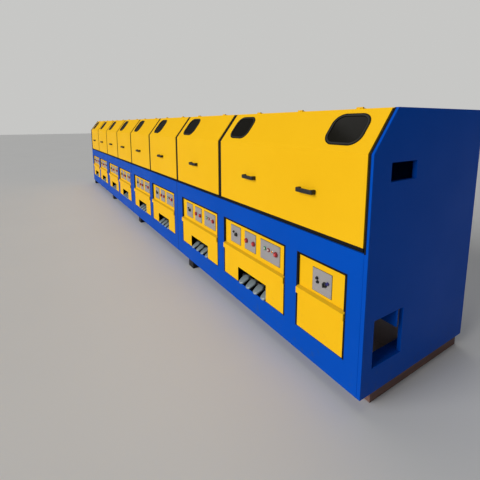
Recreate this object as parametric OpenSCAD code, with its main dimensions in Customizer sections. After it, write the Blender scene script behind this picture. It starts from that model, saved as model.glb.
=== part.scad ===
// Straight-line wire drawing machine with eight drawing blocks and an end bay, in millimetres.
// X runs along the machine, the front is towards -Y, and the floor is at Z = 0.
// The origin is on the floor, under the middle of the machine's box.

/* [Machine] */
// Height of the base sections, from their underside to the deck
base_h = 860; // [700:5:1000]
// Depth of the base sections, front to back
base_d = 1150; // [950:10:1400]
// Height of the beams that carry the base off the floor
beam_h = 95; // [60:5:160]
// Width of one support beam
beam_w = 120; // [80:5:180]
// How far the beams stay back from the front and rear faces
beam_inset = 15; // [5:5:120]
// How far the beam at the outlet end stays back from the front face
end_beam_inset = 130; // [20:5:200]
// Distance of a beam from the joint between two base sections
beam_shift = 330; // [60:10:500]
// Width of the blue posts beside each recess
post_w = 130; // [110:5:180]
// How far the joints between sections and between hoods lie off the middle of the posts
joint_shift = 30; // [10:5:50]
// Thickness of the end walls
wall_t = 25; // [15:1:40]

/* [Recesses] */
// Width of the recess in front of one drawing block
recess_w = 850; // [750:10:1000]
// Width of the recess in front of the end bay
end_recess_w = 400; // [320:10:600]
// Height of the recess sill above the underside of the base
sill_h = 175; // [120:5:220]
// Height of the recess opening
recess_h = 527; // [470:5:580]
// Depth of the recess behind the control panel
panel_pocket = 50; // [46:1:80]
// Depth of the foot well behind the lower cover
foot_well = 330; // [280:10:420]

/* [Control panels] */
// How far the panel face lies behind the base front
panel_inset = 14; // [10:1:40]
// Height of the panel that shows above the lower cover
panel_h = 229; // [200:1:280]
// Gap beside a control panel
panel_gap = 8; // [2:1:12]
// Gap above a control panel
panel_top_gap = 5; // [1:1:10]
// Height of the switch plates
plate_h = 152; // [120:1:170]
// Width of the two narrow switch plates
plate_w = 156; // [120:1:180]
// Width of the wide switch plate
wide_plate_w = 234; // [200:1:260]
// Thickness of the switch plates
plate_t = 3; // [1:0.5:6]
// Height of the switch plates above the lower edge of the panel
plate_rise = 37; // [10:1:60]
// Left margin of the first switch plate
plate_margin = 102; // [70:1:130]
// Space between switch plates
plate_space = 67; // [40:1:80]
// How far the end bay's switch plate lies below the others
end_plate_drop = 16; // [4:1:30]

/* [Switches] */
// Diameter of the red push buttons
button_d = 42; // [30:1:50]
// Diameter of the red stop button
stop_d = 40; // [30:1:60]
// How far the red push buttons stand out
button_out = 20; // [10:1:24]
// Diameter of the small black buttons and the small lamps
small_d = 22; // [16:1:28]
// Diameter of the signal lamps
lamp_d = 30; // [20:1:34]
// How far the signal lamps stand out
lamp_out = 12; // [6:1:20]
// Diameter of the selector knobs
knob_d = 36; // [26:1:44]
// How far the selector knobs stand out
knob_out = 22; // [14:1:24]

/* [Lower covers] */
// Sheet thickness of the lower covers
cover_t = 2.5; // [1.5:0.5:4]
// How far the lip stands in front of the cover face
lip_out = 13; // [8:1:25]
// Height of the lip
lip_h = 42; // [30:1:70]
// How far the ledge slopes down from the panel to the lip
lip_drop = 10; // [4:1:16]
// Gap beside the lip
lip_gap = 2; // [1:0.5:5]
// Gap beside the lower covers
cover_gap = 8; // [4:1:15]
// Gap between a lower cover and the sill
cover_rise = 5; // [2:1:10]
// Width of the foot opening
foot_w = 400; // [360:5:460]
// Height of the foot opening above the lower edge of the cover
foot_h = 130; // [110:5:160]
// How far the foot opening lies off the middle of the recess
foot_shift = 10; // [-40:5:40]

/* [Foot pedals] */
// Pedals in one foot well
pedal_n = 4; // [2:1:4]
// Width of a pedal tread at its rear end
pedal_w = 90; // [60:1:98]
// Width of a pedal tread at its nose
pedal_nose_w = 64; // [58:1:76]
// Length of a pedal tread
pedal_l = 100; // [90:1:130]
// Thickness of a pedal tread
pedal_t = 12; // [8:1:16]
// Corner radius at the rear end of a tread
pedal_r = 38; // [30:1:44]
// Corner radius at the nose of a tread
pedal_nose_r = 28; // [20:1:28]
// Tilt of the treads
pedal_tilt = 29; // [20:1:32]
// Space between the middles of two pedals
pedal_pitch = 105; // [98:1:108]
// Distance of the first pedal's middle from the side of the foot opening
pedal_margin = 42; // [40:1:50]
// Distance of the pedal shaft behind the base front
pedal_shaft_y = 86; // [80:1:140]
// Height of the pedal shaft above the sill
pedal_shaft_rise = 33; // [30:1:50]
// Diameter of the pedal shaft
pedal_shaft_d = 20; // [14:1:26]
// Wall of the hub round the pedal shaft
pedal_hub_wall = 8; // [5:1:12]

/* [Hoods] */
// Sheet thickness of the hoods
hood_t = 3; // [2:0.5:5]
// Depth of the folded edge round a hood
hood_flange = 30; // [20:1:40]
// How far a hood lies behind the base front
hood_inset = 10; // [6:1:40]
// Height of the hood's fold above the deck
knee_h = 533; // [400:5:620]
// Height of the roof above the deck
roof_h = 773; // [700:5:900]
// How far the slope runs back from the fold to the top edge
slope_run = 185; // [140:5:260]
// Space between two hoods
hood_gap = 54; // [50:2:80]
// Space between an end wall and the hood next to it
hood_end_gap = 17; // [12:1:60]
// Height of the hood's lower edge above the deck
hood_rise = 26; // [15:1:40]
// Opening angle shown
hood_angle = 0; // [0:1:70]

/* [Windows] */
// Width of a hood window
window_w = 240; // [180:1:280]
// Height of a hood window along the slope
window_h = 200; // [160:1:230]
// Corner radius of a hood window
window_r = 65; // [30:1:80]
// Height of the window above the fold, along the slope
window_rise = 55; // [35:1:60]
// Distance of the window from the hood's side
window_margin = 98; // [50:1:120]
// Distance of the last window from the outlet end of the last hood
end_window_margin = 98; // [50:1:120]
// Thickness of the window pane
pane_t = 5; // [3:0.5:8]
// Width of the rubber frame that laps onto the sheet
gasket_lap = 13; // [5:1:14]
// Height of the rubber frame above the sheet
gasket_h = 4; // [2:0.5:6]

/* [Handles] */
// Length of a handle
handle_l = 150; // [130:5:220]
// How far a handle stands out from the hood
handle_out = 39; // [30:1:39]
// Thickness of the grip
grip_t = 12; // [8:1:16]
// Height of the grip
grip_h = 20; // [14:1:28]
// Height of the handle above the hood's lower edge
handle_rise = 239; // [150:1:400]
// Distance of the handle's middle from the hood's side
handle_margin = 470; // [300:5:500]
// Distance of the last handle's middle from the outlet end of the last hood
end_handle_margin = 430; // [300:5:500]

/* [Hinges] */
// Outer diameter of a hinge knuckle
knuckle_d = 14; // [10:1:18]
// Length of a whole hinge
hinge_l = 46; // [30:1:60]
// Diameter of the hinge pin
pin_d = 6; // [4:0.5:8]
// Distance of the outer hinges from the hood's sides
hinge_margin = 211; // [180:1:300]
// Space between the three hinges of the last hood
hinge_space = 500; // [400:10:560]
// Height of the hinge axis above the roof
axis_rise = 3; // [1:0.5:6]

/* [Hood frame] */
// Width of the posts between the hoods
frame_w = 44; // [40:1:50]
// Depth of the posts between the hoods
frame_d = 40; // [30:1:50]
// Thickness of the rubber seals
seal_t = 8; // [4:1:10]
// How far the seals lie behind the hood face
seal_inset = 4; // [2:0.5:8]
// Height of the roof beams
roof_beam_h = 50; // [30:1:60]
// Thickness of the roof and rear sheets
sheet_t = 4; // [2:0.5:6]

/* [Drawing blocks] */
// Working diameter of a capstan
capstan_d = 560; // [450:10:600]
// Diameter of the capstan's lower flange
capstan_flange_d = 640; // [560:10:680]
// Height of a capstan
capstan_h = 350; // [250:10:380]
// Height of the bearing housing under a capstan
bearing_h = 140; // [100:5:180]
// Diameter of the bearing housing
bearing_d = 320; // [240:10:400]
// Distance of the capstan axis behind the base front
capstan_y = 450; // [430:5:600]
// Height of the wire line above the deck
wire_h = 430; // [380:5:440]

/* [Hidden] */
$fn = 48;

blue = "#004BAF";
yellow = "#FBC41C";
black = "#1C1C1C";
plate_grey = "#9A9596";
pedal_grey = "#7E8C8E";
steel = "#B8BABC";
beam_brown = "#4A302C";
eps = 0.01;
seat = 0.3;

block_n = 8;
section_n = 4;
section_l = 3 * post_w + 2 * recess_w;
last_section_l = section_l + joint_shift + end_recess_w + post_w;
total_l = (section_n - 1) * section_l + last_section_l;
block_pitch = recess_w + post_w;
left_x = -total_l / 2;
right_x = total_l / 2;
// The base, with the lip in front of it and the covers behind it, lies evenly about the origin.
rear_cover_t = 6;
front_y = -(base_d + lip_out + rear_cover_t) / 2 + lip_out;
base_z = beam_h;
deck_z = base_z + base_h;
knee_z = deck_z + knee_h;
roof_z = deck_z + roof_h;
sill_z = base_z + sill_h;
recess_top_z = sill_z + recess_h;
panel_z = recess_top_z - panel_h;
cover_z = sill_z + cover_rise;
lip_z = panel_z - lip_drop - lip_h;
// The hood's face, and the slope of its upper part
face_y = front_y + hood_inset;
hood_z = deck_z + hood_rise;
rise = roof_z - knee_z;
slope = rise / slope_run;
slope_len = norm([slope_run, rise]);
slope_deg = atan2(rise, slope_run);
stretch = sqrt(1 + slope * slope);
top_y = face_y + slope_run;
// The hinge axis, and the roof's front edge behind it
axis_y = top_y + knuckle_d / 2 + 1;
axis_z = roof_z + axis_rise;
roof_y = axis_y + knuckle_d / 2 + 2;
rear_y = front_y + base_d;
wire_y = front_y + capstan_y - capstan_d / 2;
wire_z = deck_z + wire_h;

// Left edge of base section i, counted from 0
function section_x(i) = left_x + i * section_l;
// Left edge of the recess of block k, counted from 0
function block_x(k) = section_x(floor(k / 2)) + joint_shift + post_w + (k % 2) * block_pitch;
end_x = section_x(section_n - 1) + section_l + joint_shift;
// Line between hoods k - 1 and k; lines 0 and 8 are the inner faces of the end walls
function hood_line(k) =
    k == 0 ? left_x + wall_t
    : k == block_n ? right_x - wall_t
    : k % 2 == 0 ? section_x(k / 2)
    : section_x((k - 1) / 2) + post_w + recess_w + post_w / 2;
function hood_x0(k) = hood_line(k) + (k == 0 ? hood_end_gap : hood_gap / 2);
function hood_x1(k) = hood_line(k + 1) - (k == block_n - 1 ? hood_end_gap : hood_gap / 2);
function hood_windows(k) = k == block_n - 1
    ? [hood_x0(k) + window_margin, hood_x1(k) - end_window_margin - window_w]
    : [hood_x0(k) + window_margin];
function hood_handles(k) = k == block_n - 1
    ? [hood_x0(k) + handle_margin, hood_x1(k) - end_handle_margin]
    : [hood_x0(k) + handle_margin];
function hood_hinges(k) = k == block_n - 1
    ? [for (j = [0 : 2]) hood_x1(k) - hinge_margin - j * hinge_space]
    : [hood_x0(k) + hinge_margin, hood_x1(k) - hinge_margin];
// The hood's outline moved inwards by d, from its lower edge at z to its top at y
function profile(d, z, y) = [
    [face_y + d, z],
    [face_y + d, knee_z - d * (stretch - slope)],
    [y, knee_z + (y - face_y) * slope - d * stretch]];

// A flat outline in the YZ plane, stretched along X from x0 to x1
module along_x(x0, x1) {
    translate([x0, 0, 0]) rotate([90, 0, 90]) linear_extrude(x1 - x0) children();
}
module box(x0, x1, y0, y1, z0, z1) {
    translate([x0, y0, z0]) cube([x1 - x0, y1 - y0, z1 - z0]);
}
// The strip between the hood outline moved in by d0 and by d1
module profile_band(d0, d1, z, y) {
    outer = profile(d0, z, y);
    inner = profile(d1, z, y);
    polygon(concat(outer, [inner[2], inner[1], inner[0]]));
}
module rounded_rect(w, h, r) {
    translate([r, 0]) square([w - 2 * r, h]);
    translate([0, r]) square([w, h - 2 * r]);
    for (x = [r, w - r], y = [r, h - r]) translate([x, y]) circle(r);
}
// Places a flat shape on the slope of a hood: X along the machine, Y up the slope
module on_slope(x) {
    translate([x, face_y, knee_z]) rotate([slope_deg, 0, 0]) children();
}
// The base: four bolted cabinets with a recess before each block
module base_section(i) {
    x0 = i == 0 ? left_x + wall_t : section_x(i);
    x1 = i == section_n - 1 ? right_x - wall_t : section_x(i + 1);
    color(blue) difference() {
        box(x0, x1, front_y, rear_y, base_z, deck_z);
        for (k = [2 * i, 2 * i + 1]) recess(block_x(k), recess_w, foot_well);
        if (i == section_n - 1) {
            recess(end_x, end_recess_w, panel_pocket);
            end_well();
        }
    }
}
module recess(x, w, well) {
    box(x, x + w, front_y - eps, front_y + panel_pocket, sill_z, recess_top_z);
    box(x, x + w, front_y - eps, front_y + well, sill_z, panel_z - cover_t);
}

// Openings in the near end wall, measured from the base front and underside
outlet_y = 157;
outlet_w = 237;
outlet_z = 1238;
outlet_h = 105;
access_y = 91;
access_w = 276;
access_z = 164;
access_h = 293;
shelf_l = 60;
well_l = 330;
well_drop = 120;
well_more_w = 120;
well_more_h = 160;
// An inner sheet that hangs across the upper part of the well
inner_sheet_y = 215;
inner_sheet_drop = 110;
inner_sheet_t = 12;
module end_well() {
    x1 = right_x - wall_t + eps;
    y0 = front_y + access_y;
    z0 = base_z + access_z;
    z1 = z0 + access_h + well_more_h;
    difference() {
        union() {
            box(x1 - shelf_l, x1, y0, y0 + access_w + well_more_w, z0, z1);
            box(x1 - well_l, x1 - shelf_l + eps, y0, y0 + access_w + well_more_w, z0 - well_drop, z1);
        }
        box(x1 - well_l - eps, x1 + eps, y0 + inner_sheet_y, y0 + inner_sheet_y + inner_sheet_t,
            z0 + access_h - inner_sheet_drop, z1 + eps);
    }
}
// The outline of an end wall, which follows the hoods and stands proud of them
module end_outline() {
    polygon([[front_y, base_z], [front_y, knee_z], [front_y + slope_run, roof_z],
        [rear_y, roof_z], [rear_y, base_z]]);
}
module wire_opening(x) {
    box(x - eps, x + wall_t + eps, front_y + outlet_y, front_y + outlet_y + outlet_w,
        base_z + outlet_z, base_z + outlet_z + outlet_h);
}
module near_end_wall() {
    x = right_x - wall_t;
    color(blue) difference() {
        along_x(x, right_x) end_outline();
        wire_opening(x);
        box(x - eps, right_x + eps, front_y + access_y, front_y + access_y + access_w,
            base_z + access_z, base_z + access_z + access_h);
    }
}
module far_end_wall() {
    color(blue) difference() {
        along_x(left_x, left_x + wall_t) end_outline();
        wire_opening(left_x);
    }
}

// Sheets that close the rear above the deck, one to a section
sheet_gap = 2;
function sheet_x0(i) = i == 0 ? left_x + wall_t : section_x(i) + sheet_gap / 2;
function sheet_x1(i) = i == section_n - 1 ? right_x - wall_t : section_x(i + 1) - sheet_gap / 2;
module rear_panels() {
    color(blue) for (i = [0 : section_n - 1])
        box(sheet_x0(i), sheet_x1(i), rear_y - sheet_t, rear_y, deck_z, roof_z - sheet_t);
}
rear_cover_top = 110;
module rear_covers() {
    color(blue) for (k = [0 : block_n - 1])
        box(block_x(k), block_x(k) + recess_w, rear_y, rear_y + rear_cover_t,
            sill_z, deck_z - rear_cover_top);
}
// The roof, with the fixed knuckles of the hinges on its front edge
module roof_panels() {
    color(yellow) for (i = [0 : section_n - 1]) {
        box(sheet_x0(i), sheet_x1(i), roof_y, rear_y, roof_z - sheet_t, roof_z);
        for (k = [2 * i, 2 * i + 1], x = hood_hinges(k)) fixed_knuckles(x);
    }
}
moving_share = 0.46;
knuckle_gap = 0.5;
module knuckle(x0, x1) {
    translate([x0, axis_y, axis_z]) rotate([0, 90, 0]) cylinder(d = knuckle_d, h = x1 - x0);
}
module fixed_knuckles(x) {
    half = hinge_l * moving_share / 2 + knuckle_gap;
    for (side = [-1, 1]) {
        x0 = side < 0 ? x - hinge_l / 2 : x + half;
        x1 = side < 0 ? x - half : x + hinge_l / 2;
        knuckle(x0, x1);
        box(x0, x1, axis_y, roof_y + knuckle_d, roof_z - sheet_t, axis_z);
    }
    translate([x - hinge_l / 2, axis_y, axis_z]) rotate([0, 90, 0]) cylinder(d = pin_d, h = hinge_l);
}
module moving_knuckle(x) {
    half = hinge_l * moving_share / 2;
    knuckle(x - half, x + half);
    box(x - half, x + half, top_y - hood_t, axis_y, axis_z - knuckle_d / 2 - axis_rise, axis_z);
}

// Bent posts that follow the hood outline, and the beams that carry the roof
post_inset = seal_inset + seal_t + seat;
module hood_posts() {
    color(black) for (k = [1 : block_n - 1])
        along_x(hood_line(k) - frame_w / 2, hood_line(k) + frame_w / 2) intersection() {
            profile_band(post_inset, post_inset + frame_d, deck_z, roof_y);
            translate([front_y, deck_z]) square([base_d, roof_h - sheet_t]);
        }
}
module roof_beams() {
    color(blue) for (k = [1 : block_n - 1])
        box(hood_line(k) - frame_w / 2, hood_line(k) + frame_w / 2, roof_y, rear_y - sheet_t,
            roof_z - sheet_t - roof_beam_h, roof_z - sheet_t);
}
// Rubber seals on the posts, along the end walls and under the hoods
end_seal_w = hood_end_gap - 5;
module hood_seals() {
    color(black) {
        for (k = [1 : block_n - 1]) seal_strip(hood_line(k) - frame_w / 2, hood_line(k) + frame_w / 2);
        seal_strip(hood_line(0), hood_line(0) + end_seal_w);
        seal_strip(hood_line(block_n) - end_seal_w, hood_line(block_n));
        for (k = [0 : block_n - 1])
            box(hood_x0(k), hood_x1(k), face_y + seal_inset, face_y + seal_inset + 2 * seal_t,
                deck_z, hood_z - seat);
    }
}
module seal_strip(x0, x1) {
    along_x(x0, x1) profile_band(seal_inset, seal_inset + seal_t, deck_z, top_y);
}

// Beams across the underside of the base, one at each end and one by each joint
function beam_x(j) = j == 0 ? left_x + wall_t + beam_w / 2
    : j == section_n ? right_x - wall_t - beam_w / 2
    : section_x(j) + beam_shift;
module support_beams() {
    color(beam_brown) for (j = [0 : section_n])
        box(beam_x(j) - beam_w / 2, beam_x(j) + beam_w / 2,
            front_y + (j == section_n ? end_beam_inset : beam_inset), rear_y - beam_inset, 0, base_z);
}

// Control panels with their switch plates
module control_panel(x, w) {
    box(x + panel_gap, x + w - panel_gap, front_y + panel_inset, front_y + panel_pocket,
        panel_z, recess_top_z - panel_top_gap);
}
module control_panels() {
    color(yellow) {
        for (k = [0 : block_n - 1]) control_panel(block_x(k), recess_w);
        control_panel(end_x, end_recess_w);
    }
}
plate_z = panel_z + plate_rise;
plate2_x = plate_margin + plate_w + plate_space;
plate3_x = plate2_x + plate_w + plate_space;
end_plate_x = 131;
module switch_plate(x, w, z = plate_z) {
    box(x, x + w, front_y + panel_inset - plate_t, front_y + panel_inset, z, z + plate_h);
}
module switch_plates() {
    color(plate_grey) {
        for (k = [0 : block_n - 1]) {
            switch_plate(block_x(k) + plate_margin, plate_w);
            switch_plate(block_x(k) + plate2_x, plate_w);
            switch_plate(block_x(k) + plate3_x, wide_plate_w);
        }
        switch_plate(end_x + end_plate_x, plate_w, plate_z - end_plate_drop);
    }
}
// Places of the switches: across from their plate's left edge, and up from its middle
row_z = plate_z + plate_h / 2;
red_buttons = [[28, 0], [129, 0]];
stop_button = [192, 10];
black_button = [50, 20];
knob = [90, 4];
lamps = [[57, 16], [104, 16]];
small_lamp = [149, 16];
end_buttons = [[39, 8 - end_plate_drop], [45, -15 - end_plate_drop]];
end_knob = [110, -2 - end_plate_drop];
end_knob_d = 42;
// A round piece that stands out of the plate whose left edge is at x
module round_switch(x, place, d, out) {
    translate([x + place[0], front_y + panel_inset - plate_t, row_z + place[1]])
        rotate([90, 0, 0]) cylinder(d = d, h = out);
}
module push_buttons() {
    color("#B3181C") for (k = [0 : block_n - 1]) {
        for (place = red_buttons) round_switch(block_x(k) + plate2_x, place, button_d, button_out);
        round_switch(block_x(k) + plate3_x, stop_button, stop_d, button_out);
    }
}
module selector_knobs() {
    color(black) {
        for (k = [0 : block_n - 1]) {
            round_switch(block_x(k) + plate_margin, black_button, small_d, lamp_out);
            round_switch(block_x(k) + plate_margin, knob, knob_d, knob_out);
        }
        for (place = end_buttons) round_switch(end_x + end_plate_x, place, small_d, lamp_out);
        round_switch(end_x + end_plate_x, end_knob, end_knob_d, knob_out);
    }
}
module signal_lamps() {
    color("#2F8A57") for (k = [0 : block_n - 1]) {
        for (place = lamps) round_switch(block_x(k) + plate3_x, place, lamp_d, lamp_out);
        round_switch(block_x(k) + plate3_x, small_lamp, small_d, lamp_out);
    }
}

// Lower covers: folded sheet with a proud lip along the top, open to the rear and below
cover_back = front_y + panel_pocket;
module cover_outline(t, back) {
    polygon([[front_y + t, cover_z - t], [front_y + t, panel_z - lip_drop], [front_y + panel_inset, panel_z - t],
        [back, panel_z - t], [back, cover_z - t]]);
}
module lip_outline(t, back) {
    polygon([[front_y - lip_out + t, lip_z + t], [front_y - lip_out + t, panel_z - lip_drop - t],
        [front_y + panel_inset, panel_z - t], [back, panel_z - t], [back, lip_z + t]]);
}
module lower_cover(x, w, opening) {
    color(yellow) difference() {
        union() {
            along_x(x + cover_gap, x + w - cover_gap) cover_outline(0, cover_back);
            along_x(x + lip_gap, x + w - lip_gap) lip_outline(0, cover_back);
        }
        along_x(x + cover_gap + cover_t, x + w - cover_gap - cover_t) cover_outline(cover_t, cover_back + eps);
        along_x(x + lip_gap + cover_t, x + w - lip_gap - cover_t) lip_outline(cover_t, cover_back + eps);
        if (opening)
            box(x + foot_left, x + foot_left + foot_w, front_y - eps, cover_back + eps,
                cover_z - eps, cover_z + foot_h);
    }
}
module lower_covers(i) {
    for (k = [2 * i, 2 * i + 1]) lower_cover(block_x(k), recess_w, true);
    if (i == section_n - 1) lower_cover(end_x, end_recess_w, false);
}

// Foot pedals on their shafts
foot_left = recess_w / 2 - foot_w / 2 + foot_shift;
shaft_y = front_y + pedal_shaft_y;
shaft_z = sill_z + pedal_shaft_rise;
hub_r = pedal_shaft_d / 2 + pedal_hub_wall;
hub_w = 36;
web_w = 26;
pedal_back = 2;
tread_z = hub_r - 3;
// Points on an arc about [x, y], from angle a0 to a1
function arc(x, y, r, a0, a1, n = 9) =
    [for (i = [0 : n]) let (a = a0 + (a1 - a0) * i / n) [x + r * cos(a), y + r * sin(a)]];
// A tread's outline: narrow at its nose, with round corners. Its sides touch both corner circles
module tread_outline() {
    nose = pedal_nose_w / 2 - pedal_nose_r;
    rear = pedal_w / 2 - pedal_r;
    run = pedal_l - pedal_nose_r - pedal_r;
    side = atan2(run, rear - nose) - 90 - asin((pedal_r - pedal_nose_r) / norm([rear - nose, run]));
    polygon(concat(arc(nose, 0, pedal_nose_r, -90, side), arc(rear, run, pedal_r, side, 90),
        arc(-rear, run, pedal_r, 90, 180 - side), arc(-nose, 0, pedal_nose_r, 180 - side, 270)));
}
module pedal(x) {
    translate([x, shaft_y, shaft_z]) difference() {
        union() {
            rotate([0, 90, 0]) translate([0, 0, -hub_w / 2]) cylinder(r = hub_r, h = hub_w);
            rotate([pedal_tilt, 0, 0]) {
                translate([0, pedal_back - pedal_l + pedal_nose_r, tread_z])
                    linear_extrude(pedal_t) tread_outline();
                translate([-web_w / 2, -hub_r + 4, 0]) cube([web_w, hub_r, tread_z + 1]);
            }
        }
        translate([-hub_w, 0, 0]) rotate([0, 90, 0])
            cylinder(d = pedal_shaft_d + 2 * seat, h = 2 * hub_w);
    }
}
module foot_pedals() {
    color(pedal_grey) for (k = [0 : block_n - 1], j = [0 : pedal_n - 1])
        pedal(block_x(k) + foot_left + pedal_margin + pedal_pitch * j);
}
bracket_t = 12;
bracket_w = 50;
bracket_gap = 6;
module pedal_shafts() {
    color(steel) for (k = [0 : block_n - 1]) {
        x0 = block_x(k) + foot_left - bracket_gap - bracket_t;
        x1 = block_x(k) + foot_left + foot_w + bracket_gap + bracket_t;
        translate([x0, shaft_y, shaft_z]) rotate([0, 90, 0]) cylinder(d = pedal_shaft_d, h = x1 - x0);
        for (x = [x0, x1 - bracket_t])
            box(x, x + bracket_t, shaft_y - bracket_w / 2, shaft_y + bracket_w / 2, sill_z,
                shaft_z + pedal_shaft_d);
    }
}

// Drawing blocks on the deck under the hoods
function capstan_x(k) = block_x(k) + recess_w / 2;
bearing_foot_h = 35;
bearing_neck_d = 230;
module bearing_housings() {
    color(blue) for (k = [0 : block_n - 1]) translate([capstan_x(k), front_y + capstan_y, deck_z]) {
        cylinder(d = bearing_d, h = bearing_foot_h);
        cylinder(d = bearing_neck_d, h = bearing_h);
    }
}
capstan_wall = 30;
flange_h = 26;
flange_bevel = 12;
cone_h = 34;
draft = 12;
bowl_depth = 60;
boss_r = 90;
boss_rise = 20;
module capstan() {
    r = capstan_d / 2;
    fr = capstan_flange_d / 2;
    bowl_z = capstan_h - bowl_depth;
    rotate_extrude($fn = 96) polygon([
        [0, 0], [fr - flange_bevel, 0], [fr, flange_bevel], [fr, flange_h],
        [fr - flange_bevel, flange_h + flange_bevel / 2], [r + flange_bevel / 2, flange_h + cone_h / 2],
        [r, flange_h + cone_h], [r - draft / 2, capstan_h - flange_bevel], [r - draft, capstan_h],
        [r - capstan_wall, capstan_h], [r - capstan_wall, bowl_z],
        [boss_r, bowl_z], [boss_r, bowl_z + boss_rise], [0, bowl_z + boss_rise]]);
}
module capstans() {
    color(steel) for (k = [0 : block_n - 1])
        translate([capstan_x(k), front_y + capstan_y, deck_z + bearing_h]) capstan();
}
// Die boxes on their legs, one ahead of each capstan
die_box_l = 220;
die_box_w = 130;
die_box_h = 120;
die_leg_l = 110;
die_leg_w = 66;
die_foot_t = 15;
die_bore_d = 30;
function die_x(k) = max(capstan_x(k) - block_pitch / 2, left_x + wall_t + die_box_l);
module upright(x, l, w, z0, z1) {
    box(x - l / 2, x + l / 2, wire_y - w / 2, wire_y + w / 2, z0, z1);
}
module die_boxes() {
    color(pedal_grey) for (k = [0 : block_n - 1]) difference() {
        union() {
            upright(die_x(k), die_box_l, die_box_w, wire_z - die_box_h / 2, wire_z + die_box_h / 2);
            upright(die_x(k), die_leg_l, die_leg_w, deck_z, wire_z - die_box_h / 2 + eps);
            upright(die_x(k), die_leg_l + 2 * die_foot_t, die_box_w, deck_z, deck_z + die_foot_t);
        }
        translate([die_x(k) - die_box_l, wire_y, wire_z]) rotate([0, 90, 0])
            cylinder(d = die_bore_d, h = 2 * die_box_l);
    }
}
// Grooved wheels that guide the wire behind each die box
guide_d = 150;
guide_w = 40;
guide_groove = 14;
guide_rim = 8;
guide_pin_d = 34;
guide_foot_d = 80;
guide_foot_t = 20;
guide_margin = 100;
guide_y = wire_y + die_box_w / 2 + guide_d / 2 + guide_foot_t;
function guide_x(k) = max(capstan_x(k) - block_pitch / 2, left_x + wall_t + guide_margin);
module guide_wheels() {
    r = guide_d / 2;
    color(steel) for (k = [0 : block_n - 1]) translate([guide_x(k), guide_y, deck_z]) {
        cylinder(d = guide_foot_d, h = guide_foot_t);
        cylinder(d = guide_pin_d, h = wire_h);
        translate([0, 0, wire_h - guide_w / 2]) rotate_extrude($fn = 64) polygon([
            [0, 0], [r, 0], [r, guide_rim], [r - guide_groove, guide_w / 2],
            [r, guide_w - guide_rim], [r, guide_w], [0, guide_w]]);
    }
}

// A hood: one folded sheet with returned edges, cut out for its windows
module hood(k) {
    x0 = hood_x0(k);
    x1 = hood_x1(k);
    color(yellow) swing() difference() {
        union() {
            difference() {
                along_x(x0, x1) profile_band(0, hood_flange, hood_z, top_y);
                along_x(x0 + hood_t, x1 - hood_t)
                    profile_band(hood_t, 2 * hood_flange, hood_z + hood_t, top_y - hood_t);
            }
            for (x = hood_hinges(k)) moving_knuckle(x);
        }
        for (x = hood_hinges(k)) translate([x - hinge_l / 2, axis_y, axis_z]) rotate([0, 90, 0])
            cylinder(d = pin_d + 2 * seat, h = hinge_l);
        for (x = hood_windows(k)) on_slope(x) translate([0, window_rise, -4 * hood_t])
            linear_extrude(8 * hood_t) rounded_rect(window_w, window_h, window_r);
    }
}
module swing() {
    translate([0, axis_y, axis_z]) rotate([-hood_angle, 0, 0]) translate([0, -axis_y, -axis_z]) children();
}
// A window: a pane held in a rubber frame that laps onto the sheet
module hood_window(k) {
    color(black) swing() for (x = hood_windows(k)) on_slope(x) translate([0, window_rise, 0]) {
        translate([seat, seat, -pane_t]) linear_extrude(pane_t + 1)
            rounded_rect(window_w - 2 * seat, window_h - 2 * seat, window_r - seat);
        linear_extrude(gasket_h) difference() {
            translate([-gasket_lap, -gasket_lap])
                rounded_rect(window_w + 2 * gasket_lap, window_h + 2 * gasket_lap, window_r + gasket_lap);
            translate([gasket_lap, gasket_lap])
                rounded_rect(window_w - 2 * gasket_lap, window_h - 2 * gasket_lap, window_r - gasket_lap);
        }
    }
}
// A bow handle with two feet
handle_foot = 22;
module hood_handle(k) {
    gap = handle_out - grip_t;
    color(black) swing() for (x = hood_handles(k))
        translate([x, face_y, hood_z + handle_rise]) linear_extrude(grip_h) difference() {
            translate([-handle_l / 2, -handle_out]) rounded_front(handle_l, handle_out, grip_t);
            translate([-handle_l / 2 + handle_foot, -gap])
                rounded_front(handle_l - 2 * handle_foot, gap + eps, grip_t / 2);
        }
}
// A rectangle whose two front corners are round
module rounded_front(w, d, r) {
    translate([0, r]) square([w, d - r]);
    translate([r, 0]) square([w - 2 * r, d]);
    for (x = [r, w - r]) translate([x, r]) circle(r);
}

base_section(0);  // base_section_1
base_section(1);  // base_section_2
base_section(2);  // base_section_3
base_section(3);  // base_section_4
near_end_wall();
far_end_wall();
rear_panels();
rear_covers();
roof_panels();
hood_posts();
roof_beams();
hood_seals();
support_beams();
control_panels();
switch_plates();
push_buttons();
selector_knobs();
signal_lamps();
lower_covers(0);  // lower_covers_1
lower_covers(1);  // lower_covers_2
lower_covers(2);  // lower_covers_3
lower_covers(3);  // lower_covers_4
foot_pedals();
pedal_shafts();
bearing_housings();
capstans();
die_boxes();
guide_wheels();
hood(0);  // hood_1
hood(1);  // hood_2
hood(2);  // hood_3
hood(3);  // hood_4
hood(4);  // hood_5
hood(5);  // hood_6
hood(6);  // hood_7
hood(7);  // hood_8
hood_window(0);  // hood_window_1
hood_window(1);  // hood_window_2
hood_window(2);  // hood_window_3
hood_window(3);  // hood_window_4
hood_window(4);  // hood_window_5
hood_window(5);  // hood_window_6
hood_window(6);  // hood_window_7
hood_window(7);  // hood_window_8
hood_handle(0);  // hood_handle_1
hood_handle(1);  // hood_handle_2
hood_handle(2);  // hood_handle_3
hood_handle(3);  // hood_handle_4
hood_handle(4);  // hood_handle_5
hood_handle(5);  // hood_handle_6
hood_handle(6);  // hood_handle_7
hood_handle(7);  // hood_handle_8
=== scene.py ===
"""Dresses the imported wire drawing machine: paint, rubbers, panes, switches, fasteners, floor and light."""

import logging
import math
from dataclasses import dataclass, replace
from enum import Enum

import bmesh
import bpy
from mathutils import Matrix, Vector


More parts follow.
